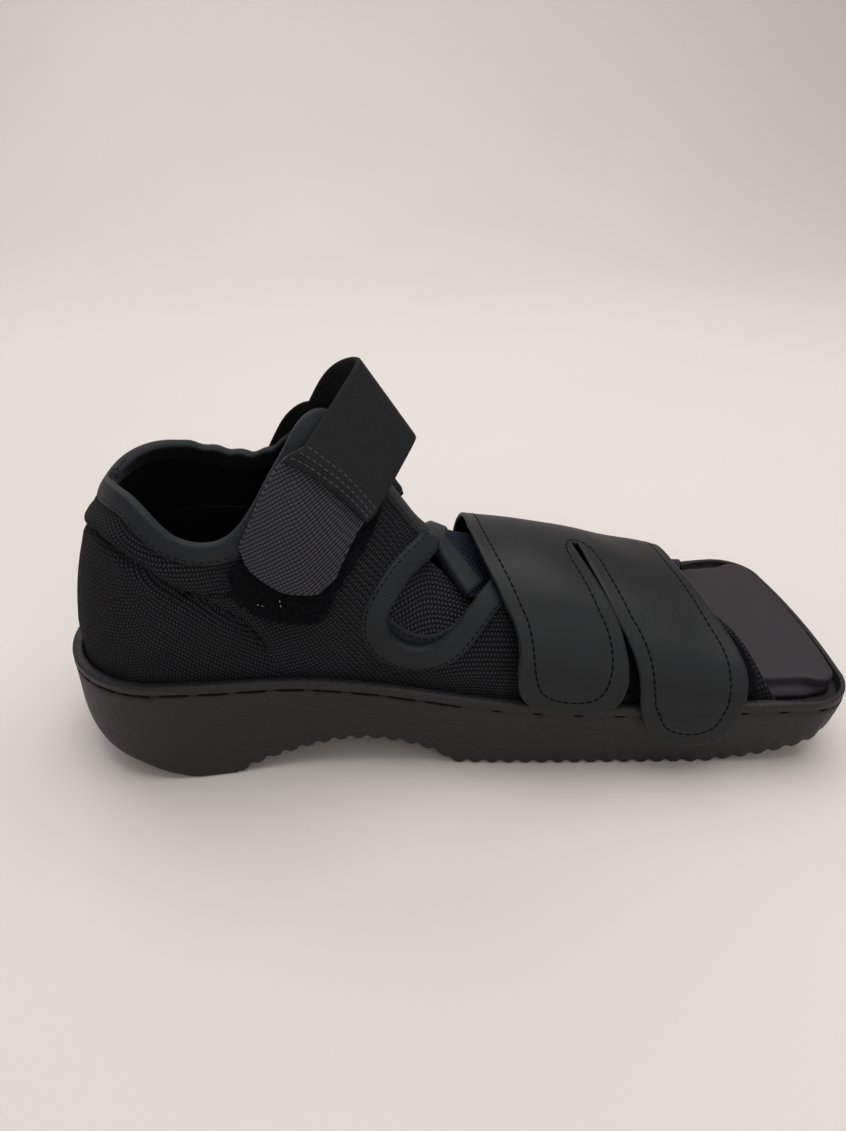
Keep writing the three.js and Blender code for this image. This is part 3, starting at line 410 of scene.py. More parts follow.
def slab(name, grids, inner, outer, materials, roundness=0.5, surface=skin, uv=cloth_uv, zone=None):
    """Closed cloth over grids: inner and outer are lists of offsets, the last material is inside."""
    at, turn, low, high, cells = joined_grids(grids, inner, outer)
    count = len(at)
    outside, inside = surface(at, turn, high), surface(at, turn, low)
    free = free_edges(cells)
    rim, outward = ways_out(outside, inside, free)
    thick = np.linalg.norm(outside[rim] - inside[rim], axis=1)[:, None]
    points, total = [outside, inside], 2 * count
    rows = {int(v): [int(v)] for v in rim}
    for step in range(1, EDGE_STEPS + 1):
        angle = np.pi * step / (EDGE_STEPS + 1)
        middle = (outside[rim] * (1 + math.cos(angle)) + inside[rim] * (1 - math.cos(angle))) / 2
        points.append(middle + outward * math.sin(angle) * thick * roundness)
        for k, v in enumerate(rim):
            rows[int(v)].append(total + k)
        total += len(rim)
    for v in rim:
        rows[int(v)].append(int(v) + count)
    faces = cells.tolist() + (cells[:, ::-1] + count).tolist()
    for p, q in free:
        for k in range(EDGE_STEPS + 1):
            faces.append([rows[q][k], rows[p][k], rows[p][k + 1], rows[q][k + 1]])
    flat = uv(at, turn)
    uvs = np.concatenate([flat, flat] + [flat[rim]] * EDGE_STEPS) * MM
    outer_material = [0] * len(cells)
    if zone is not None:
        outer_material = zone(at[cells].mean(1), turn[cells].mean(1)).tolist()
    edge_material = [0] * (len(free) * (EDGE_STEPS + 1))
    face_material = outer_material + [len(materials) - 1] * len(cells) + edge_material
    return make_mesh(name, np.concatenate(points), faces, uvs, materials, face_material)


print("a slab's edge is rounded with", EDGE_STEPS, "rows of points")


# %% [markdown]
# Materials are built from nodes. Colours are written as the hex values that a screen shows and
# turned to the linear values that Blender works with. One small function adds any node: names in
# lower case are the node's settings, and the other names are its inputs. A texture's scale counts
# features in a metre, so a scale of 900 gives grains about 1.1 mm apart.

# %% Helpers for materials
MATH, MIX = "ShaderNodeMath", "ShaderNodeMix"
NOISE, CELLS = "ShaderNodeTexNoise", "ShaderNodeTexVoronoi"


def linear(hex_colour):
    values = [int(hex_colour[i : i + 2], 16) / 255 for i in (1, 3, 5)]
    return tuple(v / 12.92 if v <= 0.04045 else ((v + 0.055) / 1.055) ** 2.4 for v in values) + (1.0,)


def add_node(tree, kind, **values):
    """An input is a value, a hex colour, a socket, or a node with its first output; _2 is input 2."""
    node = tree.nodes.new(kind)
    for key, value in values.items():
        if key[0].islower():
            setattr(node, key, value)
            continue
        socket = node.inputs[int(key[1:]) if key[0] == "_" else key.replace("_", " ")]
        if isinstance(value, bpy.types.Node):
            value = value.outputs[0]
        if isinstance(value, bpy.types.NodeSocket):
            tree.links.new(value, socket)
        else:
            socket.default_value = linear(value) if str(value).startswith("#") else value
    return node


def start_material(name, colour, roughness, **more):
    material = bpy.data.materials.new(name)
    material.use_nodes = True
    tree = material.node_tree
    shader = tree.nodes["Principled BSDF"]
    shader.inputs["Base Color"].default_value = linear(colour)
    shader.inputs["Roughness"].default_value = roughness
    for key, value in more.items():
        shader.inputs[key.replace("_", " ")].default_value = value
    print("material:", name)
    return material, tree, shader


def finish_material(tree, shader, tone, dark, light, height, distance, strength=1.0):
    """The tone runs from a dark colour to a light one, and the height becomes small bumps."""
    colour = add_node(tree, MIX, data_type="RGBA", _0=tone, _6=dark, _7=light).outputs[2]
    tree.links.new(colour, shader.inputs["Base Color"])
    bump = add_node(tree, "ShaderNodeBump", Strength=strength, Distance=distance, Height=height)
    tree.links.new(bump.outputs[0], shader.inputs["Normal"])


# %% [markdown]
# The sole is moulded from a black foamed rubber compound. The mould is spark-eroded, which leaves
# a fine stipple, drawn 1.1 mm wide, and the skin is half matt. It looks greyer where light grazes
# it. Slow clouds of tone and gloss, some 45 mm wide, keep the large flank from looking painted.

# %% Moulded foam rubber, stippled
def moulded_rubber():
    material, tree, shader = start_material(
        "moulded_foam_rubber_black", "#1f1d1e", 0.56, Specular_IOR_Level=0.4
    )
    place = add_node(tree, "ShaderNodeTexCoord").outputs["Object"]
    stipple = add_node(tree, NOISE, Vector=place, Scale=900.0, Detail=2.0, Roughness=0.55)
    pores = add_node(tree, CELLS, Vector=place, Scale=620.0)
    clouds = add_node(tree, NOISE, Vector=place, Scale=22.0, Detail=3.0)
    height = add_node(tree, MATH, operation="MULTIPLY_ADD", _0=pores, _1=0.6, _2=stipple)
    tone = add_node(tree, MATH, operation="MULTIPLY_ADD", _0=clouds, _1=0.8, _2=-0.1)
    body = add_node(tree, MIX, data_type="RGBA", _0=tone, _6="#151416", _7="#232022").outputs[2]
    speckle = add_node(tree, MATH, operation="MULTIPLY", _0=stipple, _1=0.35)
    finish_material(tree, shader, speckle, body, "#2f2b2c", height, 0.0005, 0.55)
    shine = add_node(tree, "ShaderNodeMapRange", Value=clouds, To_Min=0.5, To_Max=0.64)
    tree.links.new(shine.outputs[0], shader.inputs["Roughness"])
    return material


RUBBER = moulded_rubber()


# %% [markdown]
# The insole is a die-cut sheet of closed-cell foam. Its skin is smooth and matt, a dark grey with
# a touch of purple, with a very fine grain of 0.7 mm.

# %% Closed-cell foam sheet
def foam_sheet():
    material, tree, shader = start_material(
        "closed_cell_foam_charcoal", "#363236", 0.55, Specular_IOR_Level=0.3
    )
    place = add_node(tree, "ShaderNodeTexCoord").outputs["Object"]
    grain = add_node(tree, NOISE, Vector=place, Scale=1500.0, Detail=1.0)
    clouds = add_node(tree, NOISE, Vector=place, Scale=14.0, Detail=2.0)
    finish_material(tree, shader, clouds, "#262327", "#2e2a2f", grain, 0.0002, 0.25)
    return material


FOAM = foam_sheet()


# %% [markdown]
# The upper is a warp-knitted air mesh: two knitted faces held apart by fine yarn. The outer face
# shows rows of slanting loops with a dark hole between them. On the real cloth a row is about
# 1.3 mm high. It is drawn 1.5 mm high here, because finer rows would blur away at this distance.
# The pattern could be a picture of cloth, but drawn with waves on the UV map it stays sharp, has
# its size in millimetres and turns with each pattern piece, as cut cloth does.

# %% Waves for woven and knitted cloth
def ridges(tree, steps):
    """Even ridges, one for each whole number of steps."""
    angle = add_node(tree, MATH, operation="MULTIPLY", _0=steps, _1=math.pi)
    wave = add_node(tree, MATH, operation="SINE", _0=angle)
    return add_node(tree, MATH, operation="ABSOLUTE", _0=wave)


def cloth_axes(tree, turned, per_metre, detail, reach):
    """The two ways of a weave. Yarn never runs quite straight, so the UV map is pushed about."""
    flat = add_node(tree, "ShaderNodeUVMap", uv_map="UVMap")
    push = add_node(tree, NOISE, Vector=flat, Scale=per_metre, Detail=detail).outputs["Color"]
    reaches = (reach, reach, 0)
    pushed = add_node(tree, "ShaderNodeVectorMath", operation="MULTIPLY_ADD", _0=push, _1=reaches, _2=flat)
    aligned = add_node(tree, "ShaderNodeMapping", Vector=pushed, Rotation=(0, 0, turned))
    split = add_node(tree, "ShaderNodeSeparateXYZ", _0=aligned)
    return flat, split.outputs["X"], split.outputs["Y"]


print("waves for cloth: one ridge for each whole step")

# %% [markdown]
# A knitted face is the product of two waves. One runs up the rows. The other runs along them, and
# its loops lean one way in every odd row and the other way in every even one. The same function
# gives all five cloths, which differ in tone, in the height of a row and in how they were cut.

# %% Knitted air mesh
LOOP_WIDTH, LOOP_SLANT, YARN_WANDER = 0.85, 1.1, 1.1


def knitted_mesh(name, dark, light, row, depth=0.0007, turned=0.0):
    material, tree, shader = start_material(name, light, 0.9, Specular_IOR_Level=0.12, Sheen_Weight=0.02)
    flat, across, upwards = cloth_axes(tree, turned, 60.0, 2.0, row * YARN_WANDER)
    rows = add_node(tree, MATH, operation="DIVIDE", _0=upwards, _1=row)
    columns = add_node(tree, MATH, operation="DIVIDE", _0=across, _1=row * LOOP_WIDTH)
    row_number = add_node(tree, MATH, operation="FLOOR", _0=rows)
    in_pairs = add_node(tree, MATH, operation="MULTIPLY", _0=row_number, _1=0.5)
    every_other = add_node(tree, MATH, operation="FRACT", _0=in_pairs)
    side = add_node(tree, MATH, operation="MULTIPLY_ADD", _0=every_other, _1=2.0, _2=-0.5)
    up_the_row = add_node(tree, MATH, operation="FRACT", _0=rows)
    lean = add_node(tree, MATH, operation="MULTIPLY", _0=up_the_row, _1=side)
    leaning = add_node(tree, MATH, operation="MULTIPLY_ADD", _0=lean, _1=LOOP_SLANT, _2=columns)
    loop = add_node(tree, MATH, operation="POWER", _0=ridges(tree, leaning), _1=0.7)
    ridge = add_node(tree, MATH, operation="POWER", _0=ridges(tree, rows), _1=0.6)
    height = add_node(tree, MATH, operation="MULTIPLY", _0=loop, _1=ridge)
    patchy = add_node(tree, NOISE, Vector=flat, Scale=9.0, Detail=3.0)
    bright = add_node(tree, MATH, operation="MULTIPLY_ADD", _0=patchy, _1=0.9, _2=0.45)
    lit = add_node(tree, MATH, operation="MULTIPLY", _0=height, _1=bright)
    # The tone follows the loops' height: the light loop tops are a painted highlight and the dark holes
    # between them are painted shade.
    tone = add_node(tree, MATH, operation="POWER", _0=lit, _1=1.8)
    finish_material(tree, shader, tone, dark, light, height, depth, 0.9)
    return material


AIR_MESH = knitted_mesh("knitted_air_mesh_black", "#030304", "#3b3b40", 0.0015)
COUNTER_MESH = knitted_mesh("knitted_air_mesh_on_the_bias", "#030304", "#38383d", 0.0015, turned=0.62)
TONGUE_MESH = knitted_mesh("knitted_mesh_tongue", "#040405", "#4a4a50", 0.0017, turned=0.35)
FLAP_MESH = knitted_mesh("knitted_mesh_blue_black", "#03040a", "#2a3548", 0.0017, turned=1.2)
# The lining is a much darker copy of the same black knit: painted shade for the inside of the shoe.
LINING_PAINTED_SHADE = knitted_mesh("knitted_lining_painted_shade", "#030405", "#0a0b0e", 0.0014, depth=0.0003)


# %% [markdown]
# The binding tape is an elastic knit, folded over the raw edge. It is smooth and a little shiny,
# with fine ribs 0.8 mm apart both ways. The webbing is a plain weave of thicker yarn, 1.1 mm
# apart, without the shine, so it comes from the same function.

# %% Elastic binding tape and plain webbing
def ribbed_tape(name, dark, light, pitch, depth, roughness, sheen):
    material, tree, shader = start_material(
        name, light, roughness, Specular_IOR_Level=0.25, Sheen_Weight=sheen, Sheen_Roughness=0.35
    )
    flat = add_node(tree, "ShaderNodeUVMap", uv_map="UVMap")
    split = add_node(tree, "ShaderNodeSeparateXYZ", _0=flat)
    steps = [add_node(tree, MATH, operation="DIVIDE", _0=split.outputs[way], _1=pitch) for way in "XY"]
    rib, yarn = ridges(tree, steps[0]), ridges(tree, steps[1])
    height = add_node(tree, MATH, operation="MULTIPLY_ADD", _0=yarn, _1=0.45, _2=rib)
    patchy = add_node(tree, NOISE, Vector=flat, Scale=40.0, Detail=3.0)
    lit = add_node(tree, MATH, operation="MULTIPLY_ADD", _0=height, _1=0.35, _2=0.35)
    bright = add_node(tree, MATH, operation="ADD", _0=patchy, _1=0.5)
    tone = add_node(tree, MATH, operation="MULTIPLY", _0=lit, _1=bright)
    finish_material(tree, shader, tone, dark, light, height, depth, 0.7)
    return material


BINDING = ribbed_tape("elastic_binding_tape", "#0f1114", "#24272b", 0.0008, 0.00012, 0.6, 0.03)
# Where the tape lies inside the shoe it takes a much darker copy of itself: painted shade.
BINDING_PAINTED_SHADE = ribbed_tape(
    "elastic_binding_tape_painted_shade", "#050506", "#111214", 0.0008, 0.00012, 0.7, 0.1
)
WEBBING = ribbed_tape("plain_woven_webbing", "#0d0d0f", "#1f1f22", 0.0011, 0.0002, 0.75, 0.02)


# %% [markdown]
# The hook tape has a slanting weave of thick nylon yarn that catches the light, with rows of fine
# hooks between. Each yarn is about 1.3 mm wide, drawn as short slanting dashes.

# %% Woven hook tape
YARN_LENGTH, YARN_PITCH, ROW_STAGGER = 0.0013, 0.00135, 0.3


def woven_hook_tape():
    material, tree, shader = start_material("woven_nylon_hook_tape", "#3a3a3f", 0.6, Specular_IOR_Level=0.25)
    _, across, upwards = cloth_axes(tree, -0.12, 160.0, 1.0, 0.0009)
    rows = add_node(tree, MATH, operation="DIVIDE", _0=upwards, _1=YARN_PITCH)
    row_number = add_node(tree, MATH, operation="FLOOR", _0=rows)
    columns = add_node(tree, MATH, operation="DIVIDE", _0=across, _1=YARN_LENGTH)
    dash = add_node(tree, MATH, operation="MULTIPLY_ADD", _0=row_number, _1=ROW_STAGGER, _2=columns)
    long_way = add_node(tree, MATH, operation="POWER", _0=ridges(tree, dash), _1=0.3)
    height = add_node(tree, MATH, operation="MULTIPLY", _0=long_way, _1=ridges(tree, rows))
    tone = add_node(tree, MATH, operation="POWER", _0=height, _1=1.4)
    finish_material(tree, shader, tone, "#060607", "#4a4a50", height, 0.0004, 0.8)
    return material


HOOK_TAPE = woven_hook_tape()


# %% [markdown]
# Loop pile is brushed nylon: a deep black nap without any shine, broken up by tufts about 1.2 mm
# apart. Real fibres are added on top of it later.

# %% Brushed loop pile
def brushed_pile():
    material, tree, shader = start_material(
        "brushed_nylon_loop_pile", "#17171a", 0.95, Specular_IOR_Level=0.08
    )
    place = add_node(tree, "ShaderNodeTexCoord").outputs["Object"]
    tufts = add_node(tree, CELLS, Vector=place, Scale=800.0)
    fuzz = add_node(tree, NOISE, Vector=place, Scale=1400.0, Detail=3.0)
    height = add_node(tree, MATH, operation="MULTIPLY_ADD", _0=tufts, _1=-1.0, _2=fuzz)
    finish_material(tree, shader, fuzz, "#060607", "#1c1c20", height, 0.0008, 0.8)
    return material


PILE = brushed_pile()


# %% [markdown]
# The forefoot strap is fabric with a smooth polyurethane coating, like thin imitation leather. It
# is matt with a soft broad highlight and a barely visible grain of about 1 mm.

# %% Coated fabric
def coated_fabric():
    material, tree, shader = start_material(
        "polyurethane_coated_fabric", "#181a1c", 0.5, Specular_IOR_Level=0.3
    )
    place = add_node(tree, "ShaderNodeTexCoord").outputs["Object"]
    grain = add_node(tree, CELLS, Vector=place, Scale=900.0)
    waves = add_node(tree, NOISE, Vector=place, Scale=35.0, Detail=3.0)
    fine = add_node(tree, MATH, operation="MULTIPLY", _0=grain, _1=0.25)
    height = add_node(tree, MATH, operation="MULTIPLY_ADD", _0=waves, _1=3.0, _2=fine)
    finish_material(tree, shader, waves, "#131518", "#191b1e", height, 0.0004, 0.35)
    return material


COATED = coated_fabric()


# %% [markdown]
# Thread is twisted, so its colour changes every 0.4 mm along a stitch. The seams are sewn in black
# polyester, and three rows on the webbing in grey nylon.

# %% Sewing thread
def sewing_thread(name, colour, dark):
    material, tree, shader = start_material(name, colour, 0.7, Specular_IOR_Level=0.1)
    place = add_node(tree, "ShaderNodeTexCoord").outputs["Object"]
    twist = add_node(tree, NOISE, Vector=place, Scale=2500.0, Detail=1.0)
    finish_material(tree, shader, twist, colour, dark, twist, 0.0001)
    return material


THREAD = sewing_thread("polyester_thread_black", "#08080a", "#030304")
PALE_THREAD = sewing_thread("nylon_thread_grey", "#5d5d62", "#333338")


# %% [markdown]
# The sole is a loft: a closed outline in plan is repeated at several levels, from the underside up
# the side, over the rounded rim and down into the tray. Its points lie at the corners of the tread
# ribs, so that the ribs come out crisp. The height of each level follows the sole's side view.

# %% Underside with its cross ribs
RIB_SHAPE = [(0.0, 0.45), (0.08, 0.12), (0.18, 0.0), (0.38, 0.0), (0.5, 0.12), (0.58, 0.5)]
RIB_SHAPE += [(0.66, 0.85), (0.74, 0.95), (0.84, 0.9), (0.93, 0.72)]


def spline_through(rows, steps):
    return edge(rows)(np.linspace(0, 1, steps))


def ribbed(rows):
    curve = spline_through(rows, 121) * [SOLE_LENGTH, HEEL_HEIGHT]
    start, end = curve[0, 0], curve[-1, 0]
    count = max(1, round((end - start) / RIB_PITCH))
    pitch = (end - start) / count
    points = []
    for i in range(count):
        for share, depth in RIB_SHAPE:
            x = start + (i + share) * pitch
            points.append((x, float(np.interp(x, curve[:, 0], curve[:, 1])) + depth * RIB_DEPTH))
    return points


heel_line = [tuple(p) for p in spline_through(HEEL_CURVE, 40) * [SOLE_LENGTH, HEEL_HEIGHT]]
seat_line = [(HEEL_CURVE[-1][0] * SOLE_LENGTH + 6, 0.0), (ARCH_CURVE[0][0] * SOLE_LENGTH - 1, 0.0)]
underside = heel_line + seat_line + ribbed(ARCH_CURVE) + ribbed([(0.49, 0), (0.81, 0)]) + ribbed(TOE_CURVE)
underside.append((SOLE_LENGTH * 1.001, underside[-1][1] + 3.5))
underside = np.array(underside)
print("underside has", len(underside), "points")

# %% [markdown]
# In plan the sole is a half circle at the heel, a curve along the side, an arc at the toe's corner
# and a slightly bowed front. Each point also needs the direction that leads away from the sole, so
# that a ring can be moved in or out by a real distance.

# %% Plan outline at the same stations
FRONT = SOLE_LENGTH - TOE_BOW
CORNER_X = FRONT - TOE_CORNER
CORNER_Y = float(half_width(FRONT)) - TOE_CORNER


def plan_outline():
    """Half outline, heel to toe: x and half width, denser where it turns."""
    heel = []
    for a in np.linspace(0, math.pi / 2, 40):
        heel.append((HEEL_CENTRE * (1 - math.cos(a)), HEEL_WIDTH / 2 * math.sin(a)))
    xs = sorted({round(x, 3) for x, _ in underside if HEEL_CENTRE + 0.5 < x < CORNER_X - 0.5})
    side = [(x, float(half_width(x))) for x in xs]
    arc = []
    for a in np.linspace(0, math.pi / 2, 26):
        x = CORNER_X + TOE_CORNER * math.sin(a)
        arc.append((x, float(half_width(x)) - TOE_CORNER * (1 - math.cos(a))))
    bow = []
    for share in np.linspace(1, 0, 14)[1:]:
        bow.append((SOLE_LENGTH - TOE_BOW * share**2, CORNER_Y * share))
    return np.array(heel + side + arc + bow)


OUTLINE = plan_outline()
outline_steps = np.gradient(OUTLINE, axis=0)
OUTWARD = np.stack([-outline_steps[:, 1], outline_steps[:, 0]], -1)
OUTWARD /= np.linalg.norm(OUTWARD, axis=1, keepdims=True)
OUTWARD[0], OUTWARD[-1] = (-1, 0), (1, 0)
print("half outline has", len(OUTLINE), "points")

# %% [markdown]
# A loft joins rings of equally many points with rows of faces. The first and the last ring are
# closed by a ladder of narrow faces that runs from the near side to the far one.

# %% Rings and lofts
def ring(inset, height):
    """Closed ring of points: near side heel to toe, then the far side back."""
    half = OUTLINE - OUTWARD * np.broadcast_to(inset, len(OUTLINE))[:, None]
    z = height(half[:, 0]) if callable(height) else np.broadcast_to(height, len(OUTLINE))
    near = np.stack([half[:, 0], -half[:, 1], z], -1)
    far = np.stack([half[:, 0], half[:, 1], z], -1)[1:-1][::-1]
    return np.concatenate([near, far])


def flat_ends(piece, rings):
    """The ladder of faces at each end is shaded flat, so that it takes no tilt from the sides."""
    sides = len(rings[0]) * (len(rings) - 1)
    for face in piece.data.polygons[sides:]:
        face.use_smooth = False


def loft(rings):
    """Faces between rings, and a ladder of faces that closes the first and the last one."""
    count = len(rings[0])
    faces = []
    for level in range(len(rings) - 1):
        a = level * count
        for i in range(count):
            j = (i + 1) % count
            faces.append([a + i, a + j, a + j + count, a + i + count])
    top = (len(rings) - 1) * count
    for i in range(count // 2):
        j = (count - i) % count
        nxt, back = i + 1, count - i - 1
        bottom = [i, j, back, nxt] if i else [0, back, nxt]
        if nxt == back:
            bottom = [i, j, back]
        faces.append(bottom)
        faces.append([top + v for v in bottom[::-1]])
    return faces


print("one ring has", 2 * len(OUTLINE) - 2, "points")

# %% [markdown]
# The levels of the sole, from below: the rounded foot of the side, the side itself, the groove for
# the stitches, the rim with its rounded top, and the tray. Each level is an inset and a height.

# %% Sole
def below_at(x):
    return np.interp(x, underside[:, 0], underside[:, 1])


def above_tread(rise):
    return lambda x: below_at(x) + rise


def up_the_side(share):
    return lambda x: below_at(x) + (rim_height(x) - GROOVE_DROP - GROOVE_HEIGHT - below_at(x)) * share


def below_rim(drop):
    return lambda x: rim_height(x) - drop


OUTLINE_SHARE = OUTLINE[:, 0] / SOLE_LENGTH
TAPER = -HEEL_FLARE + (FOREFOOT_TAPER + HEEL_FLARE) * smoothstep(OUTLINE_SHARE, 0.2, 0.5)
BELOW = np.maximum(TAPER, -0.2)
GROOVE = GROOVE_DEPTH * (1 - 0.7 * smoothstep(OUTLINE_SHARE, 0.4, 0.55))
RIM = RIM_WALL + (TOE_RIM_WALL - RIM_WALL) * smoothstep(OUTLINE_SHARE, 0.86, 0.93)
SOLE_LEVELS = [
    (BELOW + 1.3, below_at),
    (BELOW + 0.3, above_tread(0.3)),
    (BELOW * 0.97, above_tread(1.2)),
    (BELOW * 0.6, up_the_side(0.3)),
    (BELOW * 0.2, up_the_side(0.65)),
    (0.0, up_the_side(0.9)),
    (0.0, up_the_side(0.985)),
    (0.25, up_the_side(1.0)),
    (GROOVE, below_rim(GROOVE_DROP + 0.75 * GROOVE_HEIGHT)),
    (GROOVE, below_rim(GROOVE_DROP + 0.3 * GROOVE_HEIGHT)),
    (0.25, below_rim(GROOVE_DROP)),
    (0.0, below_rim(GROOVE_DROP - 0.3)),
    (0.0, below_rim(1.0)),
    (0.18, below_rim(0.35)),
    (0.7, rim_height),
    (RIM - 0.9, rim_height),
    (RIM - 0.25, below_rim(0.3)),
    (RIM, below_rim(1.0)),
    (RIM, below_rim(TRAY_DEPTH - 0.1)),
    (RIM + 0.4, tray_floor),
]
sole_rings = [ring(inset, height) for inset, height in SOLE_LEVELS]
sole = make_mesh("sole", np.concatenate(sole_rings), loft(sole_rings), materials=[RUBBER])
flat_ends(sole, sole_rings)
add_piece(sole, ["outsole"])

# %% [markdown]
# The insole is lofted in the same way, with a softly rounded upper edge. It is thicker than the
# tray is deep, so it stands above the rim at the toe. Under the upper it is drawn in to leave room
# for the cloth, and ahead of the upper it widens until it almost fills the tray.

# %% Insole
TOE_GAP = 2.5
INSOLE_EDGE = UPPER_INSET + CLOTH_GAP + 0.9 * smoothstep(OUTLINE_SHARE, 0.65, 0.85)
INSOLE_EDGE = INSOLE_EDGE + (TOE_RIM_WALL + TOE_GAP - INSOLE_EDGE) * smoothstep(OUTLINE_SHARE, 0.95, 1)
INSOLE_FOOT, DRAWN_HEEL, DRAWN_IN = 2.5, 0.7, 3.4
DRAWN = DRAWN_HEEL + (DRAWN_IN - DRAWN_HEEL) * smoothstep(OUTLINE_SHARE, 0.35, 0.8)
DRAWN = DRAWN * smoothstep(OUTLINE_SHARE, 0.985, 0.93)


def insole_at(rise):
    return lambda x: tray_floor(x) + CLEARANCE + rise


INSOLE_LEVELS = [(0.0, 0.0), (0.0, INSOLE_FOOT - 0.4), (DRAWN * 0.7, INSOLE_FOOT + 0.3)]
INSOLE_LEVELS += [(DRAWN, INSOLE_FOOT + 1.5), (DRAWN, INSOLE_THICKNESS - 1.1)]
INSOLE_LEVELS += [(DRAWN + 0.15, INSOLE_THICKNESS - 0.55), (DRAWN + 0.5, INSOLE_THICKNESS - 0.18)]
INSOLE_LEVELS += [(DRAWN + 1.1, INSOLE_THICKNESS), (DRAWN + 4.0, INSOLE_THICKNESS)]
insole_rings = [ring(INSOLE_EDGE + inset, insole_at(rise)) for inset, rise in INSOLE_LEVELS]
insole = make_mesh("insole_sheet", np.concatenate(insole_rings), loft(insole_rings), materials=[FOAM])
flat_ends(insole, insole_rings)
add_piece(insole, ["insole"])

# %% [markdown]
# Now the upper's pattern. It is one long piece: the near forefoot flap, the near ankle wing, the
# heel, the far wing and the far flap, all growing out of one band along the sole.

# %% Edges of the upper's pattern
BAND_TURN = 20.0
THROAT_REAR, THROAT_FRONT = 0.478, 0.519
BAND_FRONT, BASE_FRONT = 0.95, 0.963
COLLAR_BACK = 60.0
WING_TIP, FAR_TIP = (0.53, 83), (0.502, 77)
HEEL_COLLAR = [(0, COLLAR_BACK), (0.051, 54.5), (0.096, 46.5), (0.137, 40)]
NEAR_COLLAR = edge(
    HEEL_COLLAR + [(0.174, 34), (0.208, 29.8), (0.243, 28.2), (0.279, 29), (0.314, 33.5), (0.348, 41)]
    + [(0.376, 50), (0.395, 61.5), (0.415, 73), (0.449, 80), (0.491, 84), WING_TIP]
)
FAR_COLLAR = edge(
    HEEL_COLLAR + [(0.174, 35.5), (0.208, 33.3), (0.243, 32.3), (0.279, 32), (0.314, 33.5), (0.348, 37)]
    + [(0.374, 43), (0.397, 51), (0.417, 60), (0.441, 68), (0.469, 74), FAR_TIP]
)
NEAR_THROAT = edge(
    [(THROAT_REAR, BAND_TURN), (0.477, 27), (0.494, 38.5), (0.513, 53), (0.529, 67), (0.536, 76), WING_TIP]
)
FAR_THROAT = edge([(THROAT_REAR, BAND_TURN), (0.477, 27), (0.486, 38.5), (0.493, 53), (0.499, 66), FAR_TIP])
NEAR_FLAP_REAR = edge(
    [(THROAT_FRONT, BAND_TURN), (0.543, 28), (0.568, 39), (0.588, 51), (0.609, 62), (0.639, 72)]
)
FAR_FLAP_REAR = edge(
    [(THROAT_FRONT, BAND_TURN), (0.527, 35), (0.537, 52), (0.543, 70), (0.539, 84), (0.54, 94)]
    + [(0.551, 105), (0.566, 115), (0.582, 124)]
)
NEAR_FLAP_TOP = edge([(0.639, 72), (0.709, 77), (0.791, 79), (0.861, 75)])
FAR_FLAP_TOP = edge([(0.582, 124), (0.66, 126), (0.76, 126), (0.831, 122)])
NEAR_FLAP_FRONT = edge([(BAND_FRONT, BAND_TURN), (0.927, 42), (0.897, 62), (0.861, 75)])
FAR_FLAP_FRONT = edge([(BAND_FRONT, BAND_TURN), (0.927, 45), (0.897, 75), (0.867, 100), (0.831, 122)])
THROAT_MIDDLE = (THROAT_REAR + THROAT_FRONT) / 2
THROAT_FLOOR = edge([(THROAT_REAR, BAND_TURN), (THROAT_MIDDLE, 18.5), (THROAT_FRONT, BAND_TURN)])
print("collar runs from", HEEL_COLLAR[0], "to the wing's tip at", WING_TIP)

# %% [markdown]
# Between these edges the cloth is cut up into grids: a band along the sole, a quarter that reaches
# from the heel to the throat, and a flap over the forefoot. The grids share their edges' points,
# so that they join into one sheet.

# %% Grids of the upper
QUARTER_COLUMNS, GAP_COLUMNS, FLAP_COLUMNS = 150, 10, 90
QUARTER_ROWS, BAND_ROWS = 56, 14


def band(start, end, base_end, columns):
    return patch(
        line((start, 0), (base_end, 0)), line((start, BAND_TURN), (end, BAND_TURN)),
        line((start, 0), (start, BAND_TURN)), line((base_end, 0), (end, BAND_TURN)), columns, BAND_ROWS,
    )


def quarter(collar, throat):
    return patch(
        line((0, BAND_TURN), (THROAT_REAR, BAND_TURN)), collar,
        line((0, BAND_TURN), (0, COLLAR_BACK)), throat, QUARTER_COLUMNS, QUARTER_ROWS,
    )


def flap(rear, top, front, rows):
    foot = line((THROAT_FRONT, BAND_TURN), (BAND_FRONT, BAND_TURN))
    return patch(foot, top, rear, front, FLAP_COLUMNS, rows)


throat_floor = patch(
    line((THROAT_REAR, 0), (THROAT_FRONT, 0)), THROAT_FLOOR,
    line((THROAT_REAR, 0), (THROAT_REAR, BAND_TURN)), line((THROAT_FRONT, 0), (THROAT_FRONT, BAND_TURN)),
    GAP_COLUMNS, BAND_ROWS,
)
rear_band = band(0, THROAT_REAR, THROAT_REAR, QUARTER_COLUMNS)
front_band = band(THROAT_FRONT, BAND_FRONT, BASE_FRONT, FLAP_COLUMNS)
print("a quarter has", QUARTER_COLUMNS * QUARTER_ROWS, "cells")
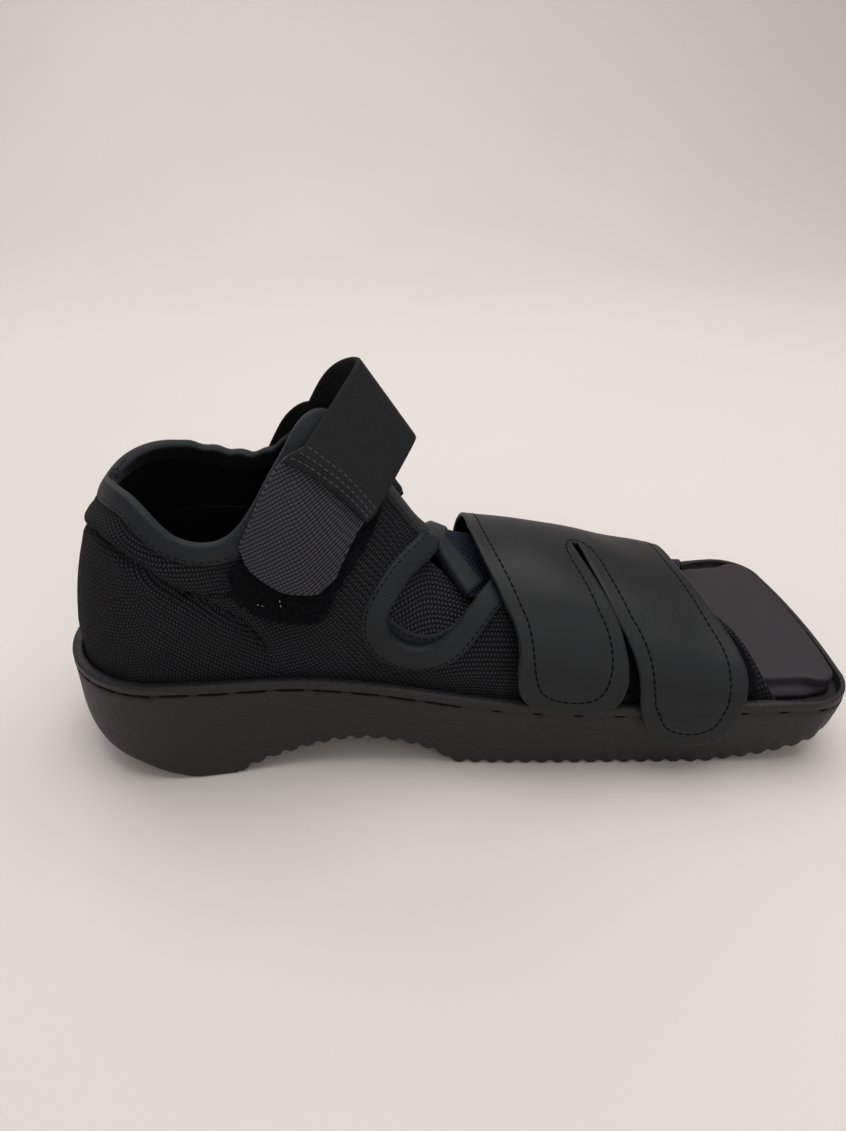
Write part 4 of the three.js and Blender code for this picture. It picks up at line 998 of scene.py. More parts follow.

# %% [markdown]
# The outer face gets the relief that the padding, seams and folds give it. Each is a small bump
# or dent across a line on the pattern: the padded roll under the collar, the heel counter with
# its trough and its puffed lower end, and creases placed where the cloth folds.

# %% Relief of the cloth
FLAP_LIFT = WALL + TAPE + CLOTH_GAP
counter_seam = smooth_table(
    [(0, 41), (0.075, 37), (0.131, 30.5), (0.188, 24.5), (0.223, 20.9), (0.261, 18), (0.302, 14.5)]
    + [(0.328, 9.4), (0.348, 3)]
)
CREASE_FIELDS = ("from_at", "from_turn", "to_at", "to_turn", "width_mm", "height_mm")
CREASES = [dict(zip(CREASE_FIELDS, row)) for row in [
    (0.292, 22.5, 0.350, 7.5, 3.2, 1.7),
    (0.288, 21.0, 0.338, 8.0, 1.3, -1.3),
    (0.262, 19.0, 0.288, 23.0, 1.2, -0.8),
    (0.30, 11.5, 0.44, 11.0, 3.0, -0.4),
    (0.36, 8.5, 0.56, 9.5, 2.5, 0.5),
    (0.06, 30.0, 0.18, 17.0, 6.0, 0.35),
    (-0.10, 44.0, -0.16, 33.0, 2.2, -0.5),
    (-0.30, 25.0, -0.40, 40.0, 3.0, -0.6),
    (-0.27, 20.0, -0.36, 12.0, 3.5, -0.5),
    (-0.33, 30.0, -0.45, 33.0, 3.5, 0.5),
    (0.40, 24.0, 0.46, 50.0, 3.0, 0.5),
    (0.55, 16.0, 0.66, 14.0, 3.0, 0.6),
    (0.60, 10.0, 0.78, 9.0, 2.5, 0.5),
    (-0.56, 18.0, -0.70, 14.0, 3.0, 0.6),
]]


COUNTER_STEP, COUNTER_TROUGH, COUNTER_PUFF, MM_PER_DEGREE = 1.1, 2.0, 1.1, 1.7
COLLAR_ROLL, ROLL_DROP, ROLL_WIDTH = 1.5, 14.0, 6.5


def bell(distance, width):
    return np.exp(-((distance / width) ** 2))


def crease_relief(at, turn):
    flat = cloth_uv(at, turn)
    relief = np.zeros(at.shape)
    for crease in CREASES:
        ends = cloth_uv(
            np.array([crease["from_at"], crease["to_at"]]), np.array([crease["from_turn"], crease["to_turn"]])
        )
        along = ends[1] - ends[0]
        t = ((flat - ends[0]) @ along) / (along @ along)
        nearest = ends[0] + np.clip(t, 0, 1)[..., None] * along
        away = np.linalg.norm(flat - nearest, axis=-1)
        relief += crease["height_mm"] * bell(away, crease["width_mm"])
    return relief


def slack(at, turn):
    """Slow waves of cloth that isn't pulled tight, a third of a millimetre high."""
    flat = cloth_uv(at, turn)
    u, v = flat[..., 0], flat[..., 1]
    return 0.16 * (np.sin(u / 9.0 + v / 17.0) + np.sin(v / 7.5 - u / 23.0 + 1.7))


def flap_lift(at, turn):
    ahead = smoothstep(at, THROAT_FRONT - 0.012, THROAT_FRONT + 0.03)
    return FLAP_LIFT * smoothstep(turn, BAND_TURN + 2, 54) * ahead


def counter_relief(at, turn):
    below = (counter_seam(np.abs(at)) - turn) * MM_PER_DEGREE
    inside = smoothstep(np.abs(at), 0.36, 0.33)
    over_rim = smoothstep(turn, 4, 9)
    step = COUNTER_STEP * smoothstep(below, 0.6, 4.0)
    trough = -COUNTER_TROUGH * bell(below, 1.4)
    puff = COUNTER_PUFF * bell(below + 4.5, 3.2)
    return (step + trough + puff) * over_rim * inside


def outer_relief(grid, from_top=None, from_end=None, from_start=None):
    at, turn = grid[..., 0], grid[..., 1]
    relief = counter_relief(at, turn) + crease_relief(at, turn) + slack(at, turn)
    if from_top is not None:
        heel = 1 - smoothstep(np.abs(at), 0.17, 0.33)
        roll = COLLAR_ROLL * bell(from_top - ROLL_DROP, ROLL_WIDTH)
        relief = (relief + roll * heel) * smoothstep(from_top, 4.5, 10)
    if from_end is not None:
        relief = relief * smoothstep(from_end, 2, 10)
    if from_start is not None:
        relief = relief * smoothstep(from_start, 2, 10)
    return relief * smoothstep(turn, 5, 12)


print(len(CREASES), "creases placed by hand")


# %% [markdown]
# The near and the far half are laid out and joined into one closed cloth. Three meshes show on it:
# the plain one, the same one cut on the bias at the heel counter, and a blue-black one on the far
# flap. The real cloth is an air mesh that gives way.

# %% The upper
def upper_parts(collar, throat, rear, top, front, rows, side):
    wing, front_flap = quarter(collar, throat), flap(rear, top, front, rows)
    wing_top, wing_end, _ = measured(wing)
    _, _, flap_start = measured(front_flap)
    bands = [rear_band, throat_floor, front_band]
    grids = bands + [wing, front_flap]
    reliefs = [outer_relief(grid * [side, 1]) for grid in bands]
    reliefs.append(outer_relief(wing * [side, 1], from_top=wing_top, from_end=wing_end))
    reliefs.append(outer_relief(front_flap * [side, 1], from_start=flap_start))
    if side < 0:
        grids = [mirrored(g) for g in grids]
        reliefs = [r[::-1] for r in reliefs]
    return grids, reliefs


NEAR_EDGES = (NEAR_COLLAR, NEAR_THROAT, NEAR_FLAP_REAR, NEAR_FLAP_TOP, NEAR_FLAP_FRONT)
FAR_EDGES = (FAR_COLLAR, FAR_THROAT, FAR_FLAP_REAR, FAR_FLAP_TOP, FAR_FLAP_FRONT)
NEAR_FLAP_ROWS, FAR_FLAP_ROWS = 44, 66
near_grids, near_relief = upper_parts(*NEAR_EDGES, NEAR_FLAP_ROWS, 1)
far_grids, far_relief = upper_parts(*FAR_EDGES, FAR_FLAP_ROWS, -1)
upper_grids = near_grids + far_grids
upper_low = [flap_lift(g[..., 0], g[..., 1]) for g in upper_grids]
upper_high = [low + WALL + relief for low, relief in zip(upper_low, near_relief + far_relief)]


def cloth_zone(at, turn):
    """0 air mesh, 1 the heel counter's mesh on the bias, 2 the far flap's blue-black mesh."""
    counter = (np.abs(at) < 0.35) & (turn < counter_seam(np.abs(at)))
    far_flap = (at < -THROAT_FRONT) & (turn > BAND_TURN)
    return np.where(far_flap, 2, np.where(counter, 1, 0))


# The inner face takes the darker lining copy, which is painted shade.
upper = slab(
    "upper_cloth", upper_grids, upper_low, upper_high, [AIR_MESH, COUNTER_MESH, FLAP_MESH, LINING_PAINTED_SHADE],
    roundness=0.3, zone=cloth_zone,
)
add_piece(upper, ["upper"])


# %% [markdown]
# The binding tape is swept along the whole free edge in one run: up the near flap, down round the
# throat, over the near wing, along the collar and back on the far side. Its section starts on the
# outside, rolls over the edge and ends on the inside. The path is smoothed first, because a real
# tape can't turn a sharp corner. Two helpers come first: one moves a point of the pattern by a real
# distance, and one lays out a path in even steps.

# %% Moving a pattern point by a real distance
def shifted(at, turn, direction, distance):
    along, up = along_and_up(at, turn)
    aa, au, uu = (along * along).sum(-1), (along * up).sum(-1), (up * up).sum(-1)
    da, du = (direction * along).sum(-1) * distance, (direction * up).sum(-1) * distance
    bottom = aa * uu - au * au
    return at + (da * uu - du * au) / bottom / SOLE_LENGTH, turn + (du * aa - da * au) / bottom


def even_path(rows, step, smoothing):
    """A pattern path resampled to even real steps and smoothed."""
    rows = np.array(rows, float)
    for _ in range(2):
        place = skin(rows[:, 0], rows[:, 1], 0)
        run = np.concatenate([[0], np.cumsum(np.linalg.norm(np.diff(place, axis=0), axis=1))])
        keep = np.concatenate([[True], np.diff(run) > 1e-6])
        run, rows = run[keep], rows[keep]
        wanted = np.linspace(0, run[-1], int(run[-1] / step) + 1)
        rows = np.stack([np.interp(wanted, run, rows[:, k]) for k in (0, 1)], -1)
        for _ in range(smoothing):
            rows[1:-1] = (rows[:-2] + 2 * rows[1:-1] + rows[2:]) / 4
    return rows


def side_way(rows):
    """Unit vectors on the skin, square to a path, to its left as seen from outside."""
    place = skin(rows[:, 0], rows[:, 1], 0)
    tangent = np.gradient(place, axis=0)
    way = np.cross(normal_at(rows[:, 0], rows[:, 1]), tangent)
    return way / np.linalg.norm(way, axis=1, keepdims=True)


short_path = even_path([(0.2, 30), (0.3, 30)], 1.6, 0)
print("a tenth of the sole's length takes", len(short_path), "steps of 1.6 mm")

# %% [markdown]
# The tape's path takes the pattern's free edges in order. On the far collar it ruckles a little,
# as a tape does that was sewn on under tension. It is wider in the throat than on the collar.

# %% Path of the binding tape
TAPE_STEP, THROAT_TAPE, COLLAR_TAPE = 1.6, 8.2, 6.2
shares = np.linspace(0, 1, 200)
near_run = [NEAR_FLAP_REAR(shares[::-1]), THROAT_FLOOR(shares[::-1]), NEAR_THROAT(shares)]
near_run += [NEAR_COLLAR(shares[::-1])]
far_run = [FAR_COLLAR(shares), FAR_THROAT(shares[::-1]), THROAT_FLOOR(shares), FAR_FLAP_REAR(shares)]
tape_rows = np.concatenate([np.concatenate(near_run), np.concatenate(far_run) * [-1, 1]])
tape_path = even_path(tape_rows, TAPE_STEP, 5)
RUCKLE_PITCH, RUCKLE_TURN = 10.0, 0.3
on_far_collar = smoothstep(-tape_path[:, 0], 0.15, 0.2) * smoothstep(-tape_path[:, 0], 0.4, 0.34)
on_far_collar = on_far_collar * (tape_path[:, 1] > 31) * (tape_path[:, 1] < 60)
ruckles = np.sin(np.arange(len(tape_path)) * TAPE_STEP * 2 * np.pi / RUCKLE_PITCH)
tape_path[:, 1] += RUCKLE_TURN * on_far_collar * ruckles
tape_left = side_way(tape_path)


def tape_width(path):
    on_collar = 1 - smoothstep(np.abs(path[:, 0]), 0.36, 0.45)
    return THROAT_TAPE - (THROAT_TAPE - COLLAR_TAPE) * on_collar


print("binding runs", round(TAPE_STEP * len(tape_path)), "mm")

# %% [markdown]
# The tape's section has three stretches: nine points down the outside, slightly domed and pressed
# flat at the seam, six round the raw edge, and seven back along the inside.

# %% Binding tape
INSIDE_FROM = 14


def swept_tape(name, path, inward, width, base, under, thickness, materials):
    """A folded tape: down the outside, round the edge and back on the inside."""
    at, turn = path[:, 0], path[:, 1]
    rows, across, run = [], [], 0.0
    place = skin(at, turn, 0)
    length = np.concatenate([[0], np.cumsum(np.linalg.norm(np.diff(place, axis=0), axis=1))])
    for share in np.linspace(1, 0, 9):
        reach = width * share
        a, t = shifted(at, turn, inward, reach)
        lift = base + thickness * (0.15 + 0.85 * np.sqrt(np.clip(1 - (2 * share - 1) ** 8, 0, 1)))
        lift = lift + 0.25 * np.sin(np.pi * share)
        rows.append(skin(a, t, lift if share > 0 else base + thickness))
        across.append(-reach)
    top, low = base + thickness, under - thickness
    middle, radius = (top + low) / 2, (top - low) / 2
    for angle in np.linspace(0, math.pi, 8)[1:-1]:
        push = -inward * (math.sin(angle) * np.broadcast_to(radius, at.shape) * 0.55)[:, None]
        rows.append(skin(at, turn, middle + radius * math.cos(angle)) + push)
        across.append(np.broadcast_to(radius * angle, at.shape))
    for share in np.linspace(0, 1, 7):
        a, t = shifted(at, turn, inward, width * share * 0.9)
        lift = low + (thickness * 0.85 if share == 1 else 0)
        rows.append(skin(a, t, lift))
        across.append(width * share + radius * math.pi)
    count, ring_size = len(path), len(rows)
    points = np.stack(rows, 1).reshape(-1, 3)
    faces = []
    for i in range(count - 1):
        for k in range(ring_size):
            a, b = i * ring_size + k, i * ring_size + (k + 1) % ring_size
            faces.append([a, b, b + ring_size, a + ring_size])
    faces.append(list(range(ring_size))[::-1])
    faces.append([(count - 1) * ring_size + k for k in range(ring_size)])
    across = np.stack([np.broadcast_to(x, at.shape) for x in across], 1)
    uvs = np.stack([np.repeat(length, ring_size), across.ravel()], -1)
    # The inside stretch gets the darker copy of the tape, which is painted shade.
    inside = [int(k >= INSIDE_FROM) for _ in range(count - 1) for k in range(ring_size)] + [0, 0]
    return make_mesh(name, points, faces, uvs * MM, materials, inside)


tape_base = flap_lift(tape_path[:, 0], tape_path[:, 1])
binding = swept_tape(
    "edge_binding", tape_path, tape_left, tape_width(tape_path), tape_base + WALL, tape_base, TAPE,
    [BINDING, BINDING_PAINTED_SHADE],
)
add_piece(binding)

# %% [markdown]
# The tongue is a padded piece of the same mesh that closes the throat from below. A strip of tape
# hems its lower edge. Its front edge is only cut.

# %% Tongue
TONGUE = patch(
    edge([(0.405, 29), (0.44, 22), (0.484, 16.5), (0.509, 15), (0.532, 17.5), (0.556, 25), (0.583, 38)]),
    edge([(0.452, 98), (0.484, 94), (0.512, 84), (0.536, 72), (0.564, 65), (0.588, 54.4)]),
    line((0.405, 29), (0.452, 98)), line((0.583, 38), (0.588, 54.4)), 70, 60,
)
tongue_from_top, _, _ = measured(TONGUE)
tongue_from_hem = tongue_from_top[:, :1] - tongue_from_top
HEM_WIDTH, TONGUE_CROWN = 9.5, 0.7
crown = TONGUE_CROWN * smoothstep(tongue_from_hem, HEM_WIDTH, 32) * smoothstep(tongue_from_top, 2, 15)
tongue_top = -TONGUE_GAP + crown * np.sin(np.pi * np.linspace(0, 1, 71))[:, None]
tongue = slab("tongue_pad", [TONGUE], [-TONGUE_GAP - WALL], [tongue_top], [TONGUE_MESH])
add_piece(tongue, ["tongue"])


def hem_column(column, from_hem, widths):
    return np.stack([np.interp(widths, from_hem, column[:, k]) for k in (0, 1)], -1)


hem_widths = np.linspace(0.3, HEM_WIDTH, 9)
hem_columns = [hem_column(column, away, hem_widths) for column, away in zip(TONGUE, tongue_from_hem)]
hem_grid = np.array(hem_columns)
hem = slab("tongue_hem", [hem_grid], [-TONGUE_GAP - 0.4], [-TONGUE_GAP + 0.55], [BINDING])
add_piece(hem)

# %% [markdown]
# Loop patches are cut from brushed nylon and sewn on the upper, and the straps' hooks grip them.
# Patches and straps lie one above the other. Their offsets are those of the part's source: a layer
# starts a small gap above the one below it.

# %% Loop patches
ANKLE_PATCH_BASE = WALL + CLOTH_GAP
PATCH_THICKNESS = 1.3
ankle_grid = patch(
    edge([(0.29, 24), (0.301, 18.5), (0.33, 15.6), (0.374, 14.6), (0.405, 16.8), (0.42, 23.5)]),
    edge([(0.436, 57), (0.455, 60), (0.47, 60)]),
    edge([(0.29, 24), (0.334, 29), (0.373, 36), (0.407, 46), (0.436, 57)]),
    edge([(0.42, 23.5), (0.444, 35.8), (0.461, 48), (0.47, 60)]), 48, 48,
)
ANKLE_PATCH_TOP, PATCH_SINKS = ANKLE_PATCH_BASE + PATCH_THICKNESS, 0.3
ankle_patch = slab(
    "ankle_loop_pile", [ankle_grid], [ANKLE_PATCH_BASE - PATCH_SINKS], [ANKLE_PATCH_TOP], [PILE]
)
add_piece(ankle_patch, ["ankle_loop_patch"])

forefoot_grid = patch(
    edge([(0.669, 17), (0.77, 15), (0.872, 15), (0.933, 17)]),
    edge([(0.649, 64), (0.73, 72), (0.811, 72), (0.874, 63)]),
    line((0.669, 17), (0.649, 64)), edge([(0.933, 17), (0.927, 32), (0.904, 50), (0.874, 63)]), 70, 44,
)
forefoot_base = flap_lift(forefoot_grid[..., 0], forefoot_grid[..., 1]) + ANKLE_PATCH_BASE
forefoot_top = forefoot_base + PATCH_THICKNESS
forefoot_patch = slab(
    "forefoot_loop_pile", [forefoot_grid], [forefoot_base - PATCH_SINKS], [forefoot_top], [PILE]
)
add_piece(forefoot_patch, ["forefoot_loop_patch"])

# %% [markdown]
# The hook tab is the end that the wearer pulls. It is a stiff woven tape with a rounded foot and
# lies on the ankle's loop patch, with its hooks down.

# %% Hook tab
HOOK_TAB_BASE = ANKLE_PATCH_TOP + CLOTH_GAP
HOOK_TAB_THICKNESS = 1.5
HOOK_TAB_TOP = HOOK_TAB_BASE + HOOK_TAB_THICKNESS
TAB_REAR_FOOT, TAB_FRONT_FOOT = (0.304, 29.6), (0.423, 29)
TAB_REAR_TOP, TAB_FRONT_TOP = (0.393, 53.5), (0.458, 54.4)
tab_foot = edge([TAB_REAR_FOOT, (0.318, 25.8), (0.347, 22.8), (0.371, 21.7), (0.403, 23.4), TAB_FRONT_FOOT])
tab_top = line(TAB_REAR_TOP, TAB_FRONT_TOP)
tab_sides = line(TAB_REAR_FOOT, TAB_REAR_TOP), line(TAB_FRONT_FOOT, TAB_FRONT_TOP)
tab_grid = patch(tab_foot, tab_top, *tab_sides, 40, 44)
hook_tab = slab("hook_tab_tape", [tab_grid], [HOOK_TAB_BASE], [HOOK_TAB_TOP], [HOOK_TAPE])
add_piece(hook_tab, ["hook_tab"])

# %% [markdown]
# The forefoot strap is one sheet with two fingers. It is sewn down low on the far side, goes over
# the ridge and splits. The front finger hangs over the rim of the sole. Where the fingers end, the
# coated fabric stands a little off what is below.

# %% Forefoot strap
STRAP_LIFT = FLAP_LIFT + ANKLE_PATCH_BASE + PATCH_THICKNESS + CLOTH_GAP
STRAP_FAR_LIFT = WALL + CLOTH_GAP
STRAP_THICKNESS = 1.7
FINGER_ROOT, STRAP_END = 90.0, 164.0
REAR_ROOT, SLOT_REAR_ROOT = (0.583, FINGER_ROOT), (0.714, FINGER_ROOT)
SLOT_FRONT_ROOT, FRONT_ROOT = (0.728, FINGER_ROOT), (0.86, FINGER_ROOT)
REAR_TIP = [(0.639, 19), (0.646, 13.5), (0.66, 8.8), (0.685, 6.9), (0.715, 6.9), (0.741, 9.7), (0.757, 16)]
REAR_TIP += [(0.765, 24)]
REAR_BACK = [(0.639, 19), (0.637, 26), (0.637, 33), (0.632, 41), (0.616, 55), (0.595, 72), REAR_ROOT]
REAR_FRONT = [(0.765, 24), (0.764, 30), (0.76, 37), (0.752, 50), (0.735, 65), (0.72, 80), SLOT_REAR_ROOT]
FRONT_TIP = [(0.79, 6), (0.795, -1), (0.804, -8), (0.821, -15.6), (0.843, -20.5), (0.866, -21.5)]
FRONT_TIP += [(0.886, -17), (0.9, -5), (0.907, 8)]
FRONT_BACK = [(0.79, 6), (0.785, 19), (0.781, 26.5), (0.774, 33.5), (0.761, 45), (0.746, 60), (0.734, 75)]
FRONT_BACK += [SLOT_FRONT_ROOT]
FRONT_FRONT = [(0.907, 8), (0.909, 19), (0.909, 27), (0.904, 35), (0.895, 47), (0.881, 61), (0.868, 78)]
FRONT_FRONT += [FRONT_ROOT]


def strap_inner(at, turn):
    return STRAP_LIFT + (STRAP_FAR_LIFT - STRAP_LIFT) * smoothstep(turn, 108, 145)


def strap_body(start, end, columns):
    return patch(
        line(start, end), line((start[0], STRAP_END), (end[0], STRAP_END)),
        line(start, (start[0], STRAP_END)), line(end, (end[0], STRAP_END)), columns, 60,
    )


strap_grids = [
    patch(edge(REAR_TIP), line(REAR_ROOT, SLOT_REAR_ROOT), edge(REAR_BACK), edge(REAR_FRONT), 44, 64),
    patch(edge(FRONT_TIP), line(SLOT_FRONT_ROOT, FRONT_ROOT), edge(FRONT_BACK), edge(FRONT_FRONT), 44, 84),
    strap_body(REAR_ROOT, SLOT_REAR_ROOT, 44), strap_body(SLOT_REAR_ROOT, SLOT_FRONT_ROOT, 6),
    strap_body(SLOT_FRONT_ROOT, FRONT_ROOT, 44),
]


def strap_wave(at, turn):
    """The stretched sheet isn't quite flat: shallow waves, a third of a millimetre high."""
    return 0.18 * np.sin(at * 60 + turn / 14) + 0.12 * np.sin(turn / 6.5 + at * 25)


strap_low = [strap_inner(g[..., 0], g[..., 1]) for g in strap_grids]
strap_waves = [strap_wave(g[..., 0], g[..., 1]) for g in strap_grids]
strap_high = [low + STRAP_THICKNESS + wave for low, wave in zip(strap_low, strap_waves)]
strap = slab("forefoot_strap_sheet", strap_grids, strap_low, strap_high, [COATED])
add_piece(strap, ["forefoot_strap"])

# %% [markdown]
# The ankle strap is a webbing band. It leaves the hook tab, stands up in a sharp fold above the
# ankle and comes down on the far wing, where it is sewn. Its rows of points are worked out in
# space, because it leaves the last.

# %% Ankle strap
WEBBING_THICKNESS = 1.4
LOOP_RISE, FRONT_FALL, APEX_ROUNDING, FAR_BOW = 27.6, 5.0, 0.1, 4.5
LOOP_WAY = np.array([0.67, 0.0, 0.74])
BOW_WAY = np.array([-0.3, 0.5, 0.8])
WEB_COLUMNS, LOOP_STEPS = 24, 56
NEAR_SEWN_TURN, FAR_SEWN_TURN = 48.5, 26.0


def on_tab(turn, lift, side):
    share = (turn - TAB_REAR_FOOT[1]) / (TAB_REAR_TOP[1] - TAB_REAR_FOOT[1])
    rear = TAB_REAR_FOOT[0] + (TAB_REAR_TOP[0] - TAB_REAR_FOOT[0]) * share
    front = TAB_FRONT_FOOT[0] + (TAB_FRONT_TOP[0] - TAB_FRONT_FOOT[0]) * share
    at = side * np.linspace(rear, front, WEB_COLUMNS + 1)
    return skin(at, np.full(at.shape, float(turn)), lift)


def webbing_face(thickness):
    near_lift = HOOK_TAB_TOP + 1.5 * CLOTH_GAP + thickness
    far_lift = WALL + TAPE + 1.5 * CLOTH_GAP + thickness
    near, far = on_tab(TAB_REAR_TOP[1], near_lift, 1), on_tab(TAB_REAR_TOP[1], far_lift, -1)
    rows = [on_tab(t, near_lift, 1) for t in np.linspace(NEAR_SEWN_TURN, TAB_REAR_TOP[1], 6)]
    scale = math.hypot(1, APEX_ROUNDING) - APEX_ROUNDING
    rise = LOOP_RISE + thickness - np.linspace(0, FRONT_FALL, WEB_COLUMNS + 1)
    middle = (near + far) / 2
    straight = np.linspace(middle[0], middle[-1], WEB_COLUMNS + 1) - middle
    for k in range(1, LOOP_STEPS):
        t = -1 + 2 * k / LOOP_STEPS
        risen = 1 - (math.hypot(t, APEX_ROUNDING) - APEX_ROUNDING) / scale
        bow = BOW_WAY * FAR_BOW * math.sin(math.pi * max(t, 0))
        loop = LOOP_WAY * (rise * risen)[:, None]
        rows.append(middle + (far - near) * t / 2 + straight * risen + loop + bow)
    rows.append(far)
    rows += [on_tab(t, far_lift, -1) for t in np.linspace(TAB_REAR_TOP[1] - 2, FAR_SEWN_TURN, 16)]
    return np.array(rows)


def run_along(face):
    """Millimetres along the middle of the webbing, row by row."""
    steps = np.linalg.norm(np.diff(face[:, WEB_COLUMNS // 2], axis=0), axis=1)
    return np.concatenate([[0], np.cumsum(steps)])


web_inside, web_outside = webbing_face(0.0), webbing_face(WEBBING_THICKNESS)
web_rows = web_inside.shape[0]
web_run = run_along(web_inside)
WEB_COLUMN_WIDTH = 1.55


def web_surface(row, column, lift):
    r, c = np.round(row).astype(int), np.round(column).astype(int)
    return np.where((lift > 0.5)[..., None], web_outside[r, c], web_inside[r, c])


def web_uv(row, column):
    return np.stack([column * WEB_COLUMN_WIDTH, web_run[np.round(row).astype(int)]], -1)


web_numbers = np.meshgrid(np.arange(web_rows), np.arange(WEB_COLUMNS + 1), indexing="ij")
web_grid = np.stack(web_numbers, -1).astype(float).transpose(1, 0, 2)
ankle_strap = slab(
    "ankle_webbing", [web_grid], [0.0], [1.0], [WEBBING], roundness=0.45, surface=web_surface, uv=web_uv
)
add_piece(ankle_strap, ["ankle_strap"])

# %% [markdown]
# Sewing machines lay stitches of one length along a seam. One Geometry Nodes tree does the same:
# it walks along a path, puts a small grain at even steps, turns it along the seam and lays it on
# the cloth. The finished stitches are made real and joined to one mesh.

# %% Stitches by Geometry Nodes
def new_tree(name, numbers, material_input):
    tree = bpy.data.node_groups.new(name, "GeometryNodeTree")
    tree.interface.new_socket("Geometry", in_out="INPUT", socket_type="NodeSocketGeometry")
    for number in numbers:
        tree.interface.new_socket(number, in_out="INPUT", socket_type="NodeSocketFloat")
    tree.interface.new_socket(material_input, in_out="INPUT", socket_type="NodeSocketMaterial")
    tree.interface.new_socket("Geometry", in_out="OUTPUT", socket_type="NodeSocketGeometry")
    return tree, tree.nodes.new("NodeGroupInput").outputs, tree.nodes.new("NodeGroupOutput")


def stitch_tree():
    tree, given, out = new_tree("stitches_along_a_path", ["Pitch", "Length", "Width", "Height"], "Thread")
    curve = add_node(tree, "GeometryNodeMeshToCurve", _0=given["Geometry"])
    evenly = add_node(tree, "GeometryNodeResampleCurve", mode="LENGTH", Curve=curve, Length=given["Pitch"])
    tangent = add_node(tree, "GeometryNodeInputTangent")
    outward = add_node(tree, "GeometryNodeInputNamedAttribute", data_type="FLOAT_VECTOR", Name="outward")
    along = add_node(tree, "FunctionNodeAlignRotationToVector", axis="X", Vector=tangent)
    upright = add_node(
        tree, "FunctionNodeAlignRotationToVector", axis="Z", pivot_axis="X", Rotation=along, Vector=outward
    )
    grain = add_node(tree, "GeometryNodeMeshUVSphere", Segments=7, Rings=5, Radius=0.5)
    size = add_node(tree, "ShaderNodeCombineXYZ", X=given["Length"], Y=given["Width"], Z=given["Height"])
    placed = add_node(
        tree, "GeometryNodeInstanceOnPoints", Points=evenly, Instance=grain, Rotation=upright, Scale=size
    )
    real = add_node(tree, "GeometryNodeRealizeInstances", _0=placed)
    dyed = add_node(tree, "GeometryNodeSetMaterial", Geometry=real, Material=given["Thread"])
    tree.links.new(dyed.outputs[0], out.inputs[0])
    print(tree.name, "has", len(tree.nodes), "nodes")
    return tree


STITCHES = stitch_tree()


# %% [markdown]
# A path is a mesh of points and edges, and each point keeps the direction that faces away from the
# cloth. The tree's inputs are set by their sockets' identifiers. The evaluated object is turned
# into a plain mesh, so that no modifier stays on the finished piece.

# %% Growing pieces from a tree
def grown(name, base, tree, values):
    """What a tree grows on a base object, as a plain mesh object; the base is removed."""
    modifier = base.modifiers.new("grow", "NODES")
    modifier.node_group = tree
    for socket in tree.interface.items_tree:
        if socket.in_out == "INPUT" and socket.name in values:
            modifier[socket.identifier] = values[socket.name]
    graph = bpy.context.evaluated_depsgraph_get()
    mesh = bpy.data.meshes.new_from_object(base.evaluated_get(graph))
    mesh.name = name
    mesh.polygons.foreach_set("use_smooth", np.full(len(mesh.polygons), True))
    piece = bpy.data.objects.new(name, mesh)
    bpy.context.scene.collection.objects.link(piece)
    bpy.data.objects.remove(base)
    return piece


def sewn(name, runs, pitch, length, width, height, thread):
    """Stitches along runs; a run is its points and the directions that face away from the cloth."""
    points = np.concatenate([run[0] for run in runs])
    ways = np.concatenate([run[1] for run in runs])
    edges, start = [], 0
    for run in runs:
        edges += [(start + k, start + k + 1) for k in range(len(run[0]) - 1)]
        start += len(run[0])
    mesh = bpy.data.meshes.new(name + "_path")
    mesh.from_pydata(((points - [HEEL_SEAT, 0, 0]) * MM).tolist(), edges, [])
    outward = mesh.attributes.new("outward", "FLOAT_VECTOR", "POINT")
    outward.data.foreach_set("vector", ways.astype(np.float32).ravel())
    base = bpy.data.objects.new(name + "_path", mesh)
    bpy.context.scene.collection.objects.link(base)
    values = {"Pitch": pitch * MM, "Length": length * MM, "Width": width * MM, "Height": height * MM}
    values["Thread"] = thread
    return add_piece(grown(name, base, STITCHES, values))


def skin_run(rows, lift):
    at, turn = rows[:, 0], rows[:, 1]
    return skin(at, turn, lift), normal_at(at, turn)


print("the stitches' tree has", len(STITCHES.interface.items_tree), "named sockets")

# %% [markdown]
# The tape is held by one seam 1.6 mm inside its inner edge, and so is the hem of the tongue. Black
# thread on black tape hardly shows, but the light catches the row of grains.

# %% Seams of the binding tape
SEAM_TO_EDGE = 1.6
seam_inset = tape_width(tape_path) - SEAM_TO_EDGE
seam_at, seam_turn = shifted(tape_path[:, 0], tape_path[:, 1], tape_left, seam_inset)
seam_rows = np.stack([seam_at, seam_turn], -1)[2:-2]
seam_lift = tape_base[2:-2] + WALL + TAPE
sewn("binding_seam", [skin_run(seam_rows, seam_lift + 0.1)], 2.7, 2.1, 0.5, 0.35, THREAD)

hem_nearest = np.argmin(np.abs(tongue_from_hem - HEM_WIDTH + SEAM_TO_EDGE), axis=1)
hem_row = even_path(TONGUE[np.arange(len(TONGUE)), hem_nearest], 1.2, 8)
sewn("tongue_hem_seam", [skin_run(hem_row, -TONGUE_GAP + 0.55)], 2.6, 2.0, 0.45, 0.3, THREAD)

# %% [markdown]
# A single seam runs 4.5 mm inside the forefoot strap's edge, down and up both fingers and round
# the end of the slot between them.

